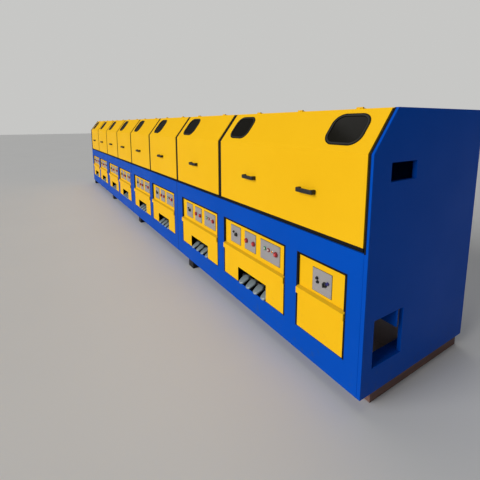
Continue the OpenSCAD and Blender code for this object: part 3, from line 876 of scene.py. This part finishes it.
@dataclass
class Housing(Assembly):
    """The cabinets, end walls, rear, roof and posts: folded steel sheet."""

    fold: float = 2.5
    sheet_gap: float = 2.0
    cover_t: float = 3.5
    cover_top: float = 110.0
    latch_margin: float = 40.0
    bolt_margin: float = 20.0
    bolts_across: int = 7
    seal_w: float = 10.0
    seal_t: float = 2.0
    seal_end: float = 4.0
    bead_w: float = 5.0
    bead_t: float = 0.8
    bead_end: float = 2.0
    lip_l: float = 25.0
    lip_h: float = 109.0
    lip_rise: float = 347.0
    lip_root: float = 1.0

    def build(self) -> None:
        """Dresses the sheets, and adds the rear covers and the sheets' screws."""
        f = self.finishes
        dress([f"base_section_{i + 1}" for i in range(SECTIONS)], f.cabinet, self.fold)
        dress(["near_end_wall", "far_end_wall"], f.blue, self.fold)
        dress(["rear_panels", "roof_beams"], f.blue, fold=1.0)
        dress(["roof_panels"], f.yellow)
        dress(["hood_posts"], f.black_paint, self.fold)
        dress(["hood_seals"], f.seal)
        dress(["support_beams"], f.primer, self.fold)
        self.edge_seals_and_shade()
        self.joint_seals()
        self.sheet_lip()
        self.rear_covers()
        self.sheet_screws()

    def edge_seals_and_shade(self) -> None:
        """Makes the rubber strips on the end walls' front edges, which the hoods close against; their black
        also paints the shade that lies on these edges.
        """
        lay = self.layout
        sloped = math.hypot(lay.slope_run, lay.roof_h - lay.knee_h) - self.seal_end
        bm = bmesh.new()
        # The strips are real seals and also painted shade on the end walls' shaded edges
        for length, z, turn in ((lay.knee_h, lay.deck, UPRIGHT), (sloped, lay.knee, lay.slope)):
            strip = slab(self.seal_w, length, self.seal_t, corner=1.0, edge=0.8)
            copies(strip, [at(x, lay.front, z, turn) for x in (lay.wall_x, -lay.wall_x - self.seal_w)], bm)
        as_piece(bm, "edge_seals_and_shade", self.finishes.seal)

    def joint_seals(self) -> None:
        """Makes the beads of sealing compound in the joints between the base sections."""
        lay = self.layout
        length = lay.base_h - 2 * self.bead_end
        bead = slab(self.bead_w, length, self.bead_t, corner=1.5, steps=3, edge=0.5)
        spots = [at(lay.section(i) - self.bead_w / 2, lay.front, lay.beam_h + self.bead_end, UPRIGHT)
                 for i in range(1, SECTIONS)]
        as_piece(copies(bead, spots), "joint_seals", self.finishes.seal)

    def sheet_lip(self) -> None:
        """Makes the lip of the end bay's inner sheet, which reaches into the opening of the end wall."""
        lay = self.layout
        lip = slab(self.lip_l, self.lip_h, lay.sheet_t, corner=1.5, edge=1.0)
        spot = at(lay.wall_x - self.lip_root, lay.front + lay.sheet_y, lay.beam_h + self.lip_rise, UPRIGHT)
        as_piece(copies(lip, [spot]), "inner_sheet_lip", self.finishes.blue)

    def on_rear(self, x: float, z: float) -> Matrix:
        """Stands a flat shape up on the rear, its left edge to the right as seen from the front."""
        return at(x, self.layout.rear, z, math.pi, "Z") @ at(turn=UPRIGHT)

    def rear_covers(self) -> None:
        """Makes the removable rear covers: plates with soft edges, each with four quarter-turn latches."""
        lay, m = self.layout, self.latch_margin
        width, height = lay.recess_w, lay.base_h - lay.sill_h - self.cover_top
        plate = slab(width, height, self.cover_t, corner=8.0, steps=4, edge=2.0)
        latch = turned([(0.0, 1.4), (2.2, 1.4), (2.6, 2.3), (9.5, 2.3), (11.0, 1.4), (11.0, 0.0)], 24)
        spots = [self.on_rear(lay.block(k) + width, lay.sill) for k in range(BLOCKS)]
        corners = [spot @ at(x, y, self.cover_t) for spot in spots for x in (m, width - m)
                   for y in (m, height - m)]
        piece = as_piece(copies(plate, spots), "rear_cover_plates", self.finishes.blue)
        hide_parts("rear_covers")
        as_piece(copies(latch, corners), "rear_cover_latches", self.finishes.black)

    def sheet_screws(self) -> None:
        """Makes the button heads that hold the rear and roof sheets."""
        lay, m = self.layout, self.bolt_margin
        head = turned([(0.0, 1.6), (2.6, 1.6), (3.0, 3.6), (5.4, 2.8), (7.0, 0.0)], 12)
        spots = []
        for i in range(SECTIONS):
            left = lay.section(i) + (lay.wall_t if i == 0 else self.sheet_gap / 2) + m
            right = (lay.wall_x if i == SECTIONS - 1 else lay.section(i + 1) - self.sheet_gap / 2) - m
            for j in range(self.bolts_across):
                x = left + (right - left) * j / (self.bolts_across - 1)
                spots += [self.on_rear(x, lay.deck + m), self.on_rear(x, lay.roof - 2 * m),
                          at(x, lay.rear - m, lay.roof)]
            spots += [self.on_rear(x, (lay.deck + lay.roof) / 2) for x in (left, right)]
        as_piece(copies(head, spots), "sheet_screws", self.finishes.shaft_steel)


@dataclass
class Hoods(Assembly):
    """The hinged hoods with their windows and handles.

    The lips and the filler of a window's rubber are measured inwards from the window's edge.
    """

    window_w: float = 240.0
    window_h: float = 200.0
    window_r: float = 65.0
    window_rise: float = 55.0
    window_margin: float = 98.0
    outer_lip: Span = (-13.0, -5.0)
    inner_lip: Span = (4.0, 7.0)
    filler: Span = (-5.5, 4.5)
    gasket_h: float = 4.0
    filler_h: float = 3.4
    pane_t: float = 5.0
    pane_play: float = 1.0
    handle_l: float = 150.0
    handle_out: float = 38.8
    handle_rise: float = 256.0
    handle_margin: float = 470.0
    end_handle_margin: float = 430.0
    bow_r: float = 15.0
    grip_t: float = 12.0
    grip_h: float = 28.0
    grip_round: float = 3.6
    foot_w: float = 22.0

    def build(self) -> None:
        """Dresses the hoods and makes their handles and windows."""
        for k in range(BLOCKS):
            dress([f"hood_{k + 1}"], self.finishes.yellow, fold=1.4)
            self.handles(k)
            self.windows(k)

    def across(self, k: int, left: float, right: float) -> list[float]:
        """X at a distance from the left edge of hood k and, on the double one, from its right edge too."""
        both = [self.layout.hood_left(k) + left, self.layout.hood_right(k) - right]
        return both if k == BLOCKS - 1 else both[:1]

    def handles(self, k: int) -> None:
        """Makes the bow handles of hood k: a round-edged grip on two broad feet.

        Args:
            k: Number of the hood, from 0.
        """
        lay, half = self.layout, self.handle_l / 2
        bow = rounded_plate(self.handle_l, 2 * self.handle_out, self.bow_r, 8)
        bmesh.ops.translate(bow, vec=(-half, -self.handle_out, 0), verts=bow.verts)
        inset(bow, bow.faces[:], self.grip_t)
        hole = min(bow.faces, key=lambda face: face.calc_center_median().length)
        narrow = (half - self.foot_w) / (half - self.grip_t)
        bmesh.ops.scale(bow, vec=(narrow, 1, 1), verts=hole.verts[:])
        bmesh.ops.delete(bow, geom=[hole], context="FACES_ONLY")
        bmesh.ops.bisect_plane(bow, geom=bow.verts[:] + bow.edges[:] + bow.faces[:], plane_co=(0, 0, 0),
                               plane_no=(0, 1, 0), clear_outer=True)
        thicken(bow, self.grip_h)
        bmesh.ops.recalc_face_normals(bow, faces=bow.faces)
        # The edges that lie on the hood stay sharp
        edges = [e for e in bow.edges if len(e.link_faces) == 2 and e.calc_face_angle(0) > 1.2
                 and min(v.co.y for v in e.verts) < -LEVEL]
        bevel(bow, edges, self.grip_round, 4)
        spots = [at(x, lay.face, lay.deck + self.handle_rise)
                 for x in self.across(k, self.handle_margin, self.end_handle_margin)]
        piece = as_piece(copies(bow, spots), f"hood_handle_bow_{k + 1}", self.finishes.black,
                         f"hood_{k + 1}")
        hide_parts(f"hood_handle_{k + 1}")

    def windows(self, k: int) -> None:
        """Makes the pane, the rubber frame and its filler strip for each window of hood k.

        Args:
            k: Number of the hood, from 0.
        """
        lay, f, body, play = self.layout, self.finishes, f"hood_{k + 1}", self.pane_play
        spots = [at(x, lay.face, lay.knee, lay.slope) @ at(y=self.window_rise)
                 for x in self.across(k, self.window_margin, self.window_margin + self.window_w)]
        pane = slab(self.window_w - 2 * play, self.window_h - 2 * play, self.pane_t,
                    corner=self.window_r - play, steps=10)
        pane = copies(pane, [spot @ at(play, play, -self.pane_t) for spot in spots])
        piece = as_piece(pane, f"window_pane_{k + 1}", f.pane, body)
        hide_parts(f"hood_window_{k + 1}")
        rubber = copies(self.ring(self.outer_lip, self.gasket_h, 2.0), spots)
        copies(self.ring(self.inner_lip, self.gasket_h, 1.0), spots, rubber)
        as_piece(rubber, f"window_rubber_{k + 1}", f.seal, body)
        filler = copies(self.ring(self.filler, self.filler_h, 1.2), spots)
        as_piece(filler, f"window_filler_{k + 1}", f.filler, body)

    def ring(self, edges: Span, height: float, round_off: float) -> BMesh:
        """Makes a closed ring that follows the window's outline.

        Args:
            edges: Its outer and its inner edge.
            height: Its height above the sheet.
            round_off: Rounding of its upper edges.

        Returns:
            A new bmesh in the window's plane.
        """
        outer, inner = edges
        bm = rounded_plate(self.window_w - 2 * outer, self.window_h - 2 * outer, self.window_r - outer)
        inset(bm, bm.faces[:], inner - outer)
        middle = max(bm.faces, key=lambda face: len(face.verts))
        bmesh.ops.delete(bm, geom=[middle], context="FACES_ONLY")
        thicken(bm, height)
        bmesh.ops.recalc_face_normals(bm, faces=bm.faces)
        soften_top(bm, height, round_off)
        bmesh.ops.translate(bm, vec=(outer, outer, 0), verts=bm.verts)
        return bm


@dataclass
class Controls(Assembly):
    """Control panels with their plates, buttons, knobs and lamps.

    A place on a plate is measured across from its left edge and up from its middle.
    """

    plate_rise: float = 37.0
    plate_h: float = 152.0
    plate_w: float = 156.0
    wide_w: float = 234.0
    plate_t: float = 3.0
    first: float = 102.0
    space: float = 67.0
    end_plate: float = 131.0
    end_drop: float = 16.0
    screw_margin: float = 8.0
    panel_gap: float = 8.0
    top_gap: float = 5.0
    lip_foot: float = 52.0
    # Sizes of the black strips that paint the shadow lines in the gaps and on the recess edges
    strip_lap: float = 3.0
    strip_clear: float = 1.0
    edge_strip_w: float = 6.0
    edge_strip_t: float = 1.5
    # Margin and thickness of the black sheets that paint each plate's shadow outline
    outline_w: float = 2.5
    outline_t: float = 1.2
    button: Span = (50.0, 20.0)
    knob: Span = (90.0, 4.0)
    knob_turn: float = 70.0
    push_buttons: tuple[Span, ...] = ((28.0, 0.0), (129.0, 0.0))
    stop_button: Span = (192.0, 10.0)
    green_lamp: Span = (57.0, 16.0)
    red_lamp: Span = (104.0, 16.0)
    amber_lamp: Span = (149.0, 16.0)
    end_buttons: tuple[Span, ...] = ((39.0, 16.0), (45.0, -7.0))
    end_knob: Span = (103.0, -3.0)
    end_knob_turn: float = 10.0
    key_switch: Span = (127.0, 13.5)
    grip_w: float = 10.0
    grip_reach: float = 13.2
    grip_foot: float = 11.0
    grip_top: float = 21.6

    def __post_init__(self) -> None:
        """Works out the places of the plates."""
        step = self.plate_w + self.space
        self.plates = ((self.first, self.plate_w), (self.first + step, self.plate_w),
                       (self.first + 2 * step, self.wide_w))
        self.back = self.layout.front + self.layout.panel_inset
        self.plate_z = self.layout.panel_foot + self.plate_rise

    def build(self) -> None:
        """Dresses the panels and makes every switch."""
        dress(["control_panels"], self.finishes.yellow, fold=1.5)
        dress(["switch_plates"], self.finishes.aluminium, fold=0.8)
        self.gap_shadow_strips()
        self.plate_shadow_outlines()
        self.screws()
        self.red_buttons()
        self.knobs()
        self.lamps()

    def gap_shadow_strips(self) -> None:
        """Makes black strips in the gaps round panels and covers and along the recesses' edges: painted shade
        for the shadow lines there.
        """
        lay, gap, lap, edge_strip, clear = self.layout, self.panel_gap, self.strip_lap, self.edge_strip_w, self.strip_clear
        foot, top, depth = lay.panel_foot, lay.recess_top, lay.panel_inset - clear
        cover_h = foot - self.lip_foot - lay.sill
        recesses = [(lay.block(k), lay.recess_w) for k in range(BLOCKS)] + [(lay.end_bay, lay.end_recess_w)]
        bm = bmesh.new()
        for left, width in recesses:
            end = left + width
            # Black strips in the gaps: painted shade for the shadow between panel, cover and recess
            for x, z, w, h in ((left, lay.sill, gap, cover_h), (end - gap, lay.sill, gap, cover_h),
                               (left, foot + clear, gap, lay.panel_h - clear),
                               (end - gap - lap, foot + clear, gap + lap, lay.panel_h - clear),
                               (left, top - self.top_gap - lap, width, self.top_gap + lap)):
                self.strip(bm, (x, self.back, z), w, h, depth)
            # Black strips on the recess edges: painted shade for the dark outline there
            for x, z, w, h in ((left - edge_strip, lay.sill, edge_strip, lay.recess_h),
                               (end, lay.sill, edge_strip, lay.recess_h),
                               (left - edge_strip, top, width + 2 * edge_strip, edge_strip)):
                self.strip(bm, (x, lay.front, z), w, h, self.edge_strip_t)
        as_piece(bm, "gap_shadow_strips", self.finishes.seal)

    def plate_shadow_outlines(self) -> None:
        """Makes black sheets under the switch plates that show as a dark edge: painted shade for each plate's
        shadow outline.
        """
        lay, m = self.layout, self.outline_w
        low = self.plate_z - m
        plates = [(lay.block(k) + left, width, low) for k in range(BLOCKS) for left, width in self.plates]
        plates.append((lay.end_bay + self.end_plate, self.plate_w, low - self.end_drop))
        bm = bmesh.new()
        # Each black sheet stands out round its plate as painted shade
        for x, width, z in plates:
            self.strip(bm, (x - m, self.back, z), width + 2 * m, self.plate_h + 2 * m, self.outline_t)
        as_piece(bm, "plate_shadow_outlines", self.finishes.seal)

    def strip(self, bm: BMesh, place: Point, width: float, height: float, depth: float) -> None:
        """Adds one black strip of painted shade.

        Args:
            bm: The bmesh that grows.
            place: Its lower left corner at the back, in mm.
            width: Size along X in mm.
            height: Size along Z in mm.
            depth: How far it stands to the front in mm.
        """
        copies(slab(width, height, depth, corner=0.8), [at(*place, UPRIGHT)], bm)

    def each(self, plate: int, *places: Span) -> list[Span]:
        """Finds places on one plate of every block.

        Args:
            plate: Number of the plate from the left, from 0.
            places: The places on it.

        Returns:
            X and Z of every place.
        """
        left, middle = self.plates[plate][0], self.plate_z + self.plate_h / 2
        return [(self.layout.block(k) + left + x, middle + z) for k in range(BLOCKS) for x, z in places]

    def on_end(self, *places: Span) -> list[Span]:
        """Finds places on the end bay's plate, which hangs lower.

        Args:
            places: The places on it.

        Returns:
            X and Z of every place.
        """
        left, middle = self.layout.end_bay + self.end_plate, self.plate_z + self.plate_h / 2 - self.end_drop
        return [(left + x, middle + z) for x, z in places]

    def spread(self, part: BMesh, places: list[Span], turn: float = 0.0, bm: BMesh | None = None) -> BMesh:
        """Copies a turned shape to many places on the plates.

        Args:
            part: The shape, standing on the XY plane. It is freed.
            places: X and Z of each copy.
            turn: Turn about its own axis in degrees.
            bm: The bmesh that grows, or none for a new one.

        Returns:
            The bmesh with every copy.
        """
        face, about = self.back - self.plate_t, at(turn=math.radians(turn), axis="Z")
        return copies(part, [at(x, face, z, UPRIGHT) @ about for x, z in places], bm)

    def screws(self) -> None:
        """Makes the round heads of the plates' fixing screws."""
        m, h = self.screw_margin, self.plate_h / 2 - self.screw_margin
        places = self.on_end(*[(x, z) for x in (m, self.plate_w - m) for z in (-h, h)])
        for i, (_, width) in enumerate(self.plates):
            places += self.each(i, *[(x, z) for x in (m, width - m) for z in (-h, h)])
        head = turned([(0.0, 1.2), (1.6, 1.2), (1.8, 2.2), (3.0, 1.8), (4.0, 0.0)], 10)
        as_piece(self.spread(head, places), "plate_screws", self.finishes.shaft_steel)

    def red_buttons(self) -> None:
        """Makes the red push buttons and stop buttons: a dark guard ring round a lighter cap."""
        places = self.each(1, *self.push_buttons) + self.each(2, self.stop_button)
        guard = turned([(11.2, 3.0), (11.2, 12.0), (13.0, 13.4), (17.6, 12.4), (19.6, 9.6), (20.0, 6.0),
                        (20.0, 0.0)])
        piece = as_piece(self.spread(guard, places), "button_guards", self.finishes.dark_red)
        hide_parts("push_buttons")
        cap = turned([(0.0, 20.0), (4.0, 19.6), (7.6, 18.4), (10.0, 15.8), (10.6, 12.0), (10.6, 3.0)])
        as_piece(self.spread(cap, places), "button_caps", self.finishes.red)

    def knobs(self) -> None:
        """Makes the selector knobs with their pointers, the small black buttons and the key switch."""
        f, knobs = self.finishes, self.each(0, self.knob)
        switch = turned([(0.0, 9.0), (5.4, 9.0), (6.8, 12.4), (8.6, 12.4), (9.4, 9.6), (9.8, 3.4),
                         (10.8, 3.0), (10.8, 0.0)], 24)
        switch = self.spread(switch, self.on_end(self.key_switch))
        as_piece(switch, "end_key_switch", f.violet)
        button = turned([(0.0, 9.6), (5.0, 9.6), (6.6, 10.6), (8.0, 10.6), (8.6, 8.0), (9.0, 3.6),
                         (11.0, 3.0), (11.0, 0.0)], 24)
        bm = self.spread(button, self.each(0, self.button) + self.on_end(*self.end_buttons))
        base = turned([(0.0, 12.0), (13.2, 12.0), (14.8, 10.8), (15.4, 4.4), (18.0, 3.4), (18.0, 0.0)])
        grip = slab(self.grip_w, 2 * self.grip_reach, self.grip_top - self.grip_foot, corner=4.0, steps=4,
                    edge=1.6)
        copies(grip, [at(-self.grip_w / 2, -self.grip_reach, self.grip_foot)], base)
        self.spread(base.copy(), knobs, self.knob_turn, bm)
        self.spread(base, self.on_end(self.end_knob), self.end_knob_turn, bm)
        piece = as_piece(bm, "selector_knob_bodies", f.black)
        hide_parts("selector_knobs")
        line = soft_box((4.4, 9.0, 0.8), 0.25, 1)
        bmesh.ops.translate(line, vec=(0, 7.5, self.grip_top), verts=line.verts)
        as_piece(self.spread(line, knobs, self.knob_turn), "knob_pointers", f.white)

    def lamps(self) -> None:
        """Makes the signal lamps: coloured rings round pale lenses, and a small amber lamp."""
        f = self.finishes
        green, red = self.each(2, self.green_lamp), self.each(2, self.red_lamp)
        amber = self.each(2, self.amber_lamp)
        rim = [(9.0, 2.0), (9.0, 8.0), (10.4, 9.4), (13.4, 8.6), (15.0, 5.4), (15.0, 0.0)]
        piece = as_piece(self.spread(turned(rim), green), "lamp_rings_green", f.green)
        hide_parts("signal_lamps")
        as_piece(self.spread(turned(rim), red), "lamp_rings_red", f.dark_red)
        dome = turned([(0.0, 12.0), (4.0, 11.5), (7.4, 9.8), (8.8, 7.0), (8.8, 2.0)], 24)
        as_piece(self.spread(dome, green + red), "lamp_lenses_pale", f.pale_lens)
        bezel = turned([(8.0, 2.0), (8.0, 4.4), (9.0, 5.0), (10.4, 4.0), (11.0, 0.0)], 24)
        as_piece(self.spread(bezel, amber), "lamp_bezels", f.shaft_steel)
        dome = turned([(0.0, 11.0), (4.0, 10.2), (7.0, 7.8), (7.8, 4.0), (7.8, 1.0)], 24)
        as_piece(self.spread(dome, amber), "lamp_lenses_amber", f.amber_lens)


@dataclass
class FootWells(Assembly):
    """Lower covers and the foot pedals behind their openings."""

    first: float = 277.0
    pitch: float = 105.0
    count: int = 4
    shaft_y: float = 86.0
    shaft_rise: float = 33.0
    tilt: float = 29.0
    width: float = 90.0
    nose: float = 52.0
    length: float = 100.0
    nose_r: float = 24.0
    heel_r: float = 38.0
    tread_t: float = 5.5
    back: float = 2.0
    tread_rise: float = 15.0
    bore_r: float = 10.3
    hub_r: float = 18.0
    hub_w: float = 36.0
    hub_edge: float = 1.5
    web: Point = (26.0, 16.0, 16.0)
    web_back: float = 11.0
    web_rise: float = 9.0

    def build(self) -> None:
        """Dresses the covers and shafts, and makes the pedals."""
        dress([f"lower_covers_{i + 1}" for i in range(SECTIONS)], self.finishes.cover_yellow, fold=1.2)
        dress(["pedal_shafts"], self.finishes.shaft_steel)
        self.pedals()

    def tread(self) -> BMesh:
        """Makes a tread: narrow at its nose, with round corners and a crowned top.

        Returns:
            A new bmesh that lies on the XY plane, its nose at Y = 0.
        """
        bm = bmesh.new()
        bmesh.ops.create_grid(bm, x_segments=1, y_segments=1, size=0.5)
        bmesh.ops.translate(bm, vec=(0, 0.5, 0), verts=bm.verts)
        bmesh.ops.scale(bm, vec=(self.width, self.length, 1), verts=bm.verts)
        nose = [v for v in bm.verts if v.co.y < 1]
        bmesh.ops.scale(bm, vec=(self.nose / self.width, 1, 1), verts=nose)
        for y, radius in ((0.0, self.nose_r), (self.length, self.heel_r)):
            bevel(bm, [v for v in bm.verts if abs(v.co.y - y) < LEVEL], radius, 9, "VERTICES")
        thicken(bm, self.tread_t)
        bmesh.ops.recalc_face_normals(bm, faces=bm.faces)
        crown = max(bm.faces, key=lambda face: face.calc_center_median().z)
        # Each step in from the edge rises less, which makes the crown
        for width, rise in ((0.8, 2.6), (2.2, 2.6), (5.0, 2.2), (9.0, 1.5), (12.0, 0.6)):
            inset(bm, [crown], width, rise)
        return bm

    def pedals(self) -> None:
        """Makes the pedals of every foot well, each with its hub on the shaft."""
        lay, bore, rim, half = self.layout, self.bore_r, self.hub_r, self.hub_w / 2
        low_rim, low = rim - self.hub_edge, half - self.hub_edge
        hub = turned([(bore, -half), (bore, half), (low_rim, half), (rim, low), (rim, -low), (low_rim, -half),
                      (bore, -half)], 28)
        axles = [at(lay.block(k) + self.first + self.pitch * j, lay.front + self.shaft_y,
                    lay.sill + self.shaft_rise) for k in range(BLOCKS) for j in range(self.count)]
        tilted = [axle @ at(turn=math.radians(self.tilt)) for axle in axles]
        bm = copies(hub, [axle @ at(turn=UPRIGHT, axis="Y") for axle in axles])
        web, tread = at(y=-self.web_back, z=self.web_rise), at(y=self.back - self.length, z=self.tread_rise)
        copies(soft_box(self.web, 2.0, 2), [spot @ web for spot in tilted], bm)
        copies(self.tread(), [spot @ tread for spot in tilted], bm)
        piece = as_piece(bm, "foot_pedal_castings", self.finishes.hammer)
        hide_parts("foot_pedals")


@dataclass
class DrawingBlocks(Assembly):
    """What stands on the deck under the hoods."""

    axis_y: float = 450.0
    boss_rise: float = 450.0
    boss_ring: float = 62.0
    boss_bolts: int = 6
    foot_rise: float = 35.0
    foot_ring: float = 138.0
    foot_bolts: int = 8

    def build(self) -> None:
        """Dresses the capstans and what stands beside them, and bolts them down."""
        lay = self.layout
        dress(["bearing_housings"], self.finishes.blue)
        dress(["capstans", "guide_wheels"], self.finishes.capstan_steel)
        dress(["die_boxes"], self.finishes.hammer, fold=2.0)
        boss = turned([(0.0, 9.0), (7.5, 9.0), (9.2, 7.8), (9.2, 0.0)], 6)
        foot = turned([(0.0, 13.0), (10.5, 13.0), (12.5, 11.4), (12.5, 0.0)], 6)
        bm = bmesh.new()
        for part, ring, rise, count in ((boss, self.boss_ring, self.boss_rise, self.boss_bolts),
                                        (foot, self.foot_ring, self.foot_rise, self.foot_bolts)):
            spots = [at(lay.block(k) + lay.recess_w / 2, lay.front + self.axis_y, lay.deck,
                        math.tau * (j + 0.5) / count, "Z") @ at(ring, 0.0, rise)
                     for k in range(BLOCKS) for j in range(count)]
            copies(part, spots, bm)
        as_piece(bm, "block_bolts", self.finishes.shaft_steel, sharp=25.0)


@dataclass
class Studio:
    """Floor, light and camera."""

    floor_reach: float = 60.0
    focal_px: float = 328.2
    frame_px: float = 480.0
    centre_x: float = 233.62
    centre_y: float = 172.92
    place: Point = (5.4839, -2.0280, 1.6446)
    yaw: float = 1.019
    pitch: float = -0.1488
    roll: float = -0.0043

    def build(self) -> None:
        """Makes the floor, the lights, the world and the camera."""
        self.floor()
        self.light("key", (-0.1, -0.92, 0.37), spread=40.0, power=2.4)
        self.light("top", (-0.3, 0.1, 0.95), spread=60.0, power=0.55)
        self.world()
        self.camera()

    def floor(self) -> None:
        """Makes a plain pale floor."""
        bm = bmesh.new()
        bmesh.ops.create_grid(bm, x_segments=1, y_segments=1, size=self.floor_reach)
        mesh = bpy.data.meshes.new("floor")
        bm.to_mesh(mesh)
        bm.free()
        material, tree, place, shader = new_material("floor_pale")
        cloud = add(tree, "TexNoise", {"Vector": place, "Scale": per(1700), "Detail": 4.0})
        tone = add(tree, "Mix", {"Factor": cloud, "A": linear("#E2E1DE"), "B": linear("#DCDBD8")},
                   data_type="RGBA")
        feed(shader, {"Base Color": tone, "Roughness": 0.7})
        mesh.materials.append(material)
        obj = bpy.data.objects.new("floor", mesh)
        bpy.context.scene.collection.objects.link(obj)

    def light(self, name: str, place: Point, spread: float, power: float) -> None:
        """Makes one soft light that is even over the whole machine.

        Args:
            name: Its name.
            place: The direction that it comes from.
            spread: Its angle in degrees, which softens the shadows.
            power: Its strength in watts a square metre.
        """
        data = bpy.data.lights.new(name, "SUN")
        data.angle = math.radians(spread)
        data.energy = power
        obj = bpy.data.objects.new(name, data)
        obj.rotation_euler = (-Vector(place)).to_track_quat("-Z", "Y").to_euler()
        bpy.context.scene.collection.objects.link(obj)

    def world(self) -> None:
        """Sets a pale, even surrounding light."""
        world = bpy.data.worlds.new("studio")
        bpy.context.scene.world = world
        world.use_nodes = True
        tree = world.node_tree
        tree.nodes.clear()
        path = add(tree, "LightPath")
        fill = add(tree, "Background", {"Color": linear("#E4E8EE"), "Strength": 0.14})
        back = add(tree, "Background", {"Color": linear("#D6D6D4"), "Strength": 0.85})
        mix = add(tree, "MixShader", {0: path.outputs["Is Camera Ray"], 1: fill, 2: back})
        add(tree, "OutputWorld", {"Surface": mix})

    def camera(self) -> None:
        """Sets the camera at the photograph's viewing angle."""
        ahead = Vector((-math.sin(self.yaw) * math.cos(self.pitch), math.cos(self.yaw) * math.cos(self.pitch),
                        math.sin(self.pitch)))
        level = Vector((math.cos(self.yaw), math.sin(self.yaw), 0.0))
        upright = level.cross(ahead)
        right = level * math.cos(self.roll) + upright * math.sin(self.roll)
        up = right.cross(ahead)
        data = bpy.data.cameras.new("camera")
        data.sensor_width = 36.0
        data.lens = self.focal_px * data.sensor_width / self.frame_px
        data.shift_x = (self.frame_px / 2 - self.centre_x) / self.frame_px
        data.shift_y = (self.centre_y - self.frame_px / 2) / self.frame_px
        data.clip_end = 200.0
        obj = bpy.data.objects.new("camera", data)
        turn = Matrix((right, up, -ahead)).transposed().to_4x4()
        obj.matrix_world = Matrix.Translation(self.place) @ turn
        bpy.context.scene.collection.objects.link(obj)
        bpy.context.scene.camera = obj


def main() -> None:
    """Builds and dresses the machine, sub-assembly by sub-assembly."""
    logging.basicConfig(level=logging.INFO, format="%(message)s")
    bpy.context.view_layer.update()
    bpy.context.scene.view_settings.view_transform = "Standard"
    layout = Layout()
    finishes = Finishes(layout)
    for assembly in (Housing(finishes, layout), Hoods(finishes, layout), Controls(finishes, layout),
                     FootWells(finishes, layout), DrawingBlocks(finishes, layout), Studio()):
        LOG.info("building %s", type(assembly).__name__)
        assembly.build()


if __name__ == "__main__":
    main()
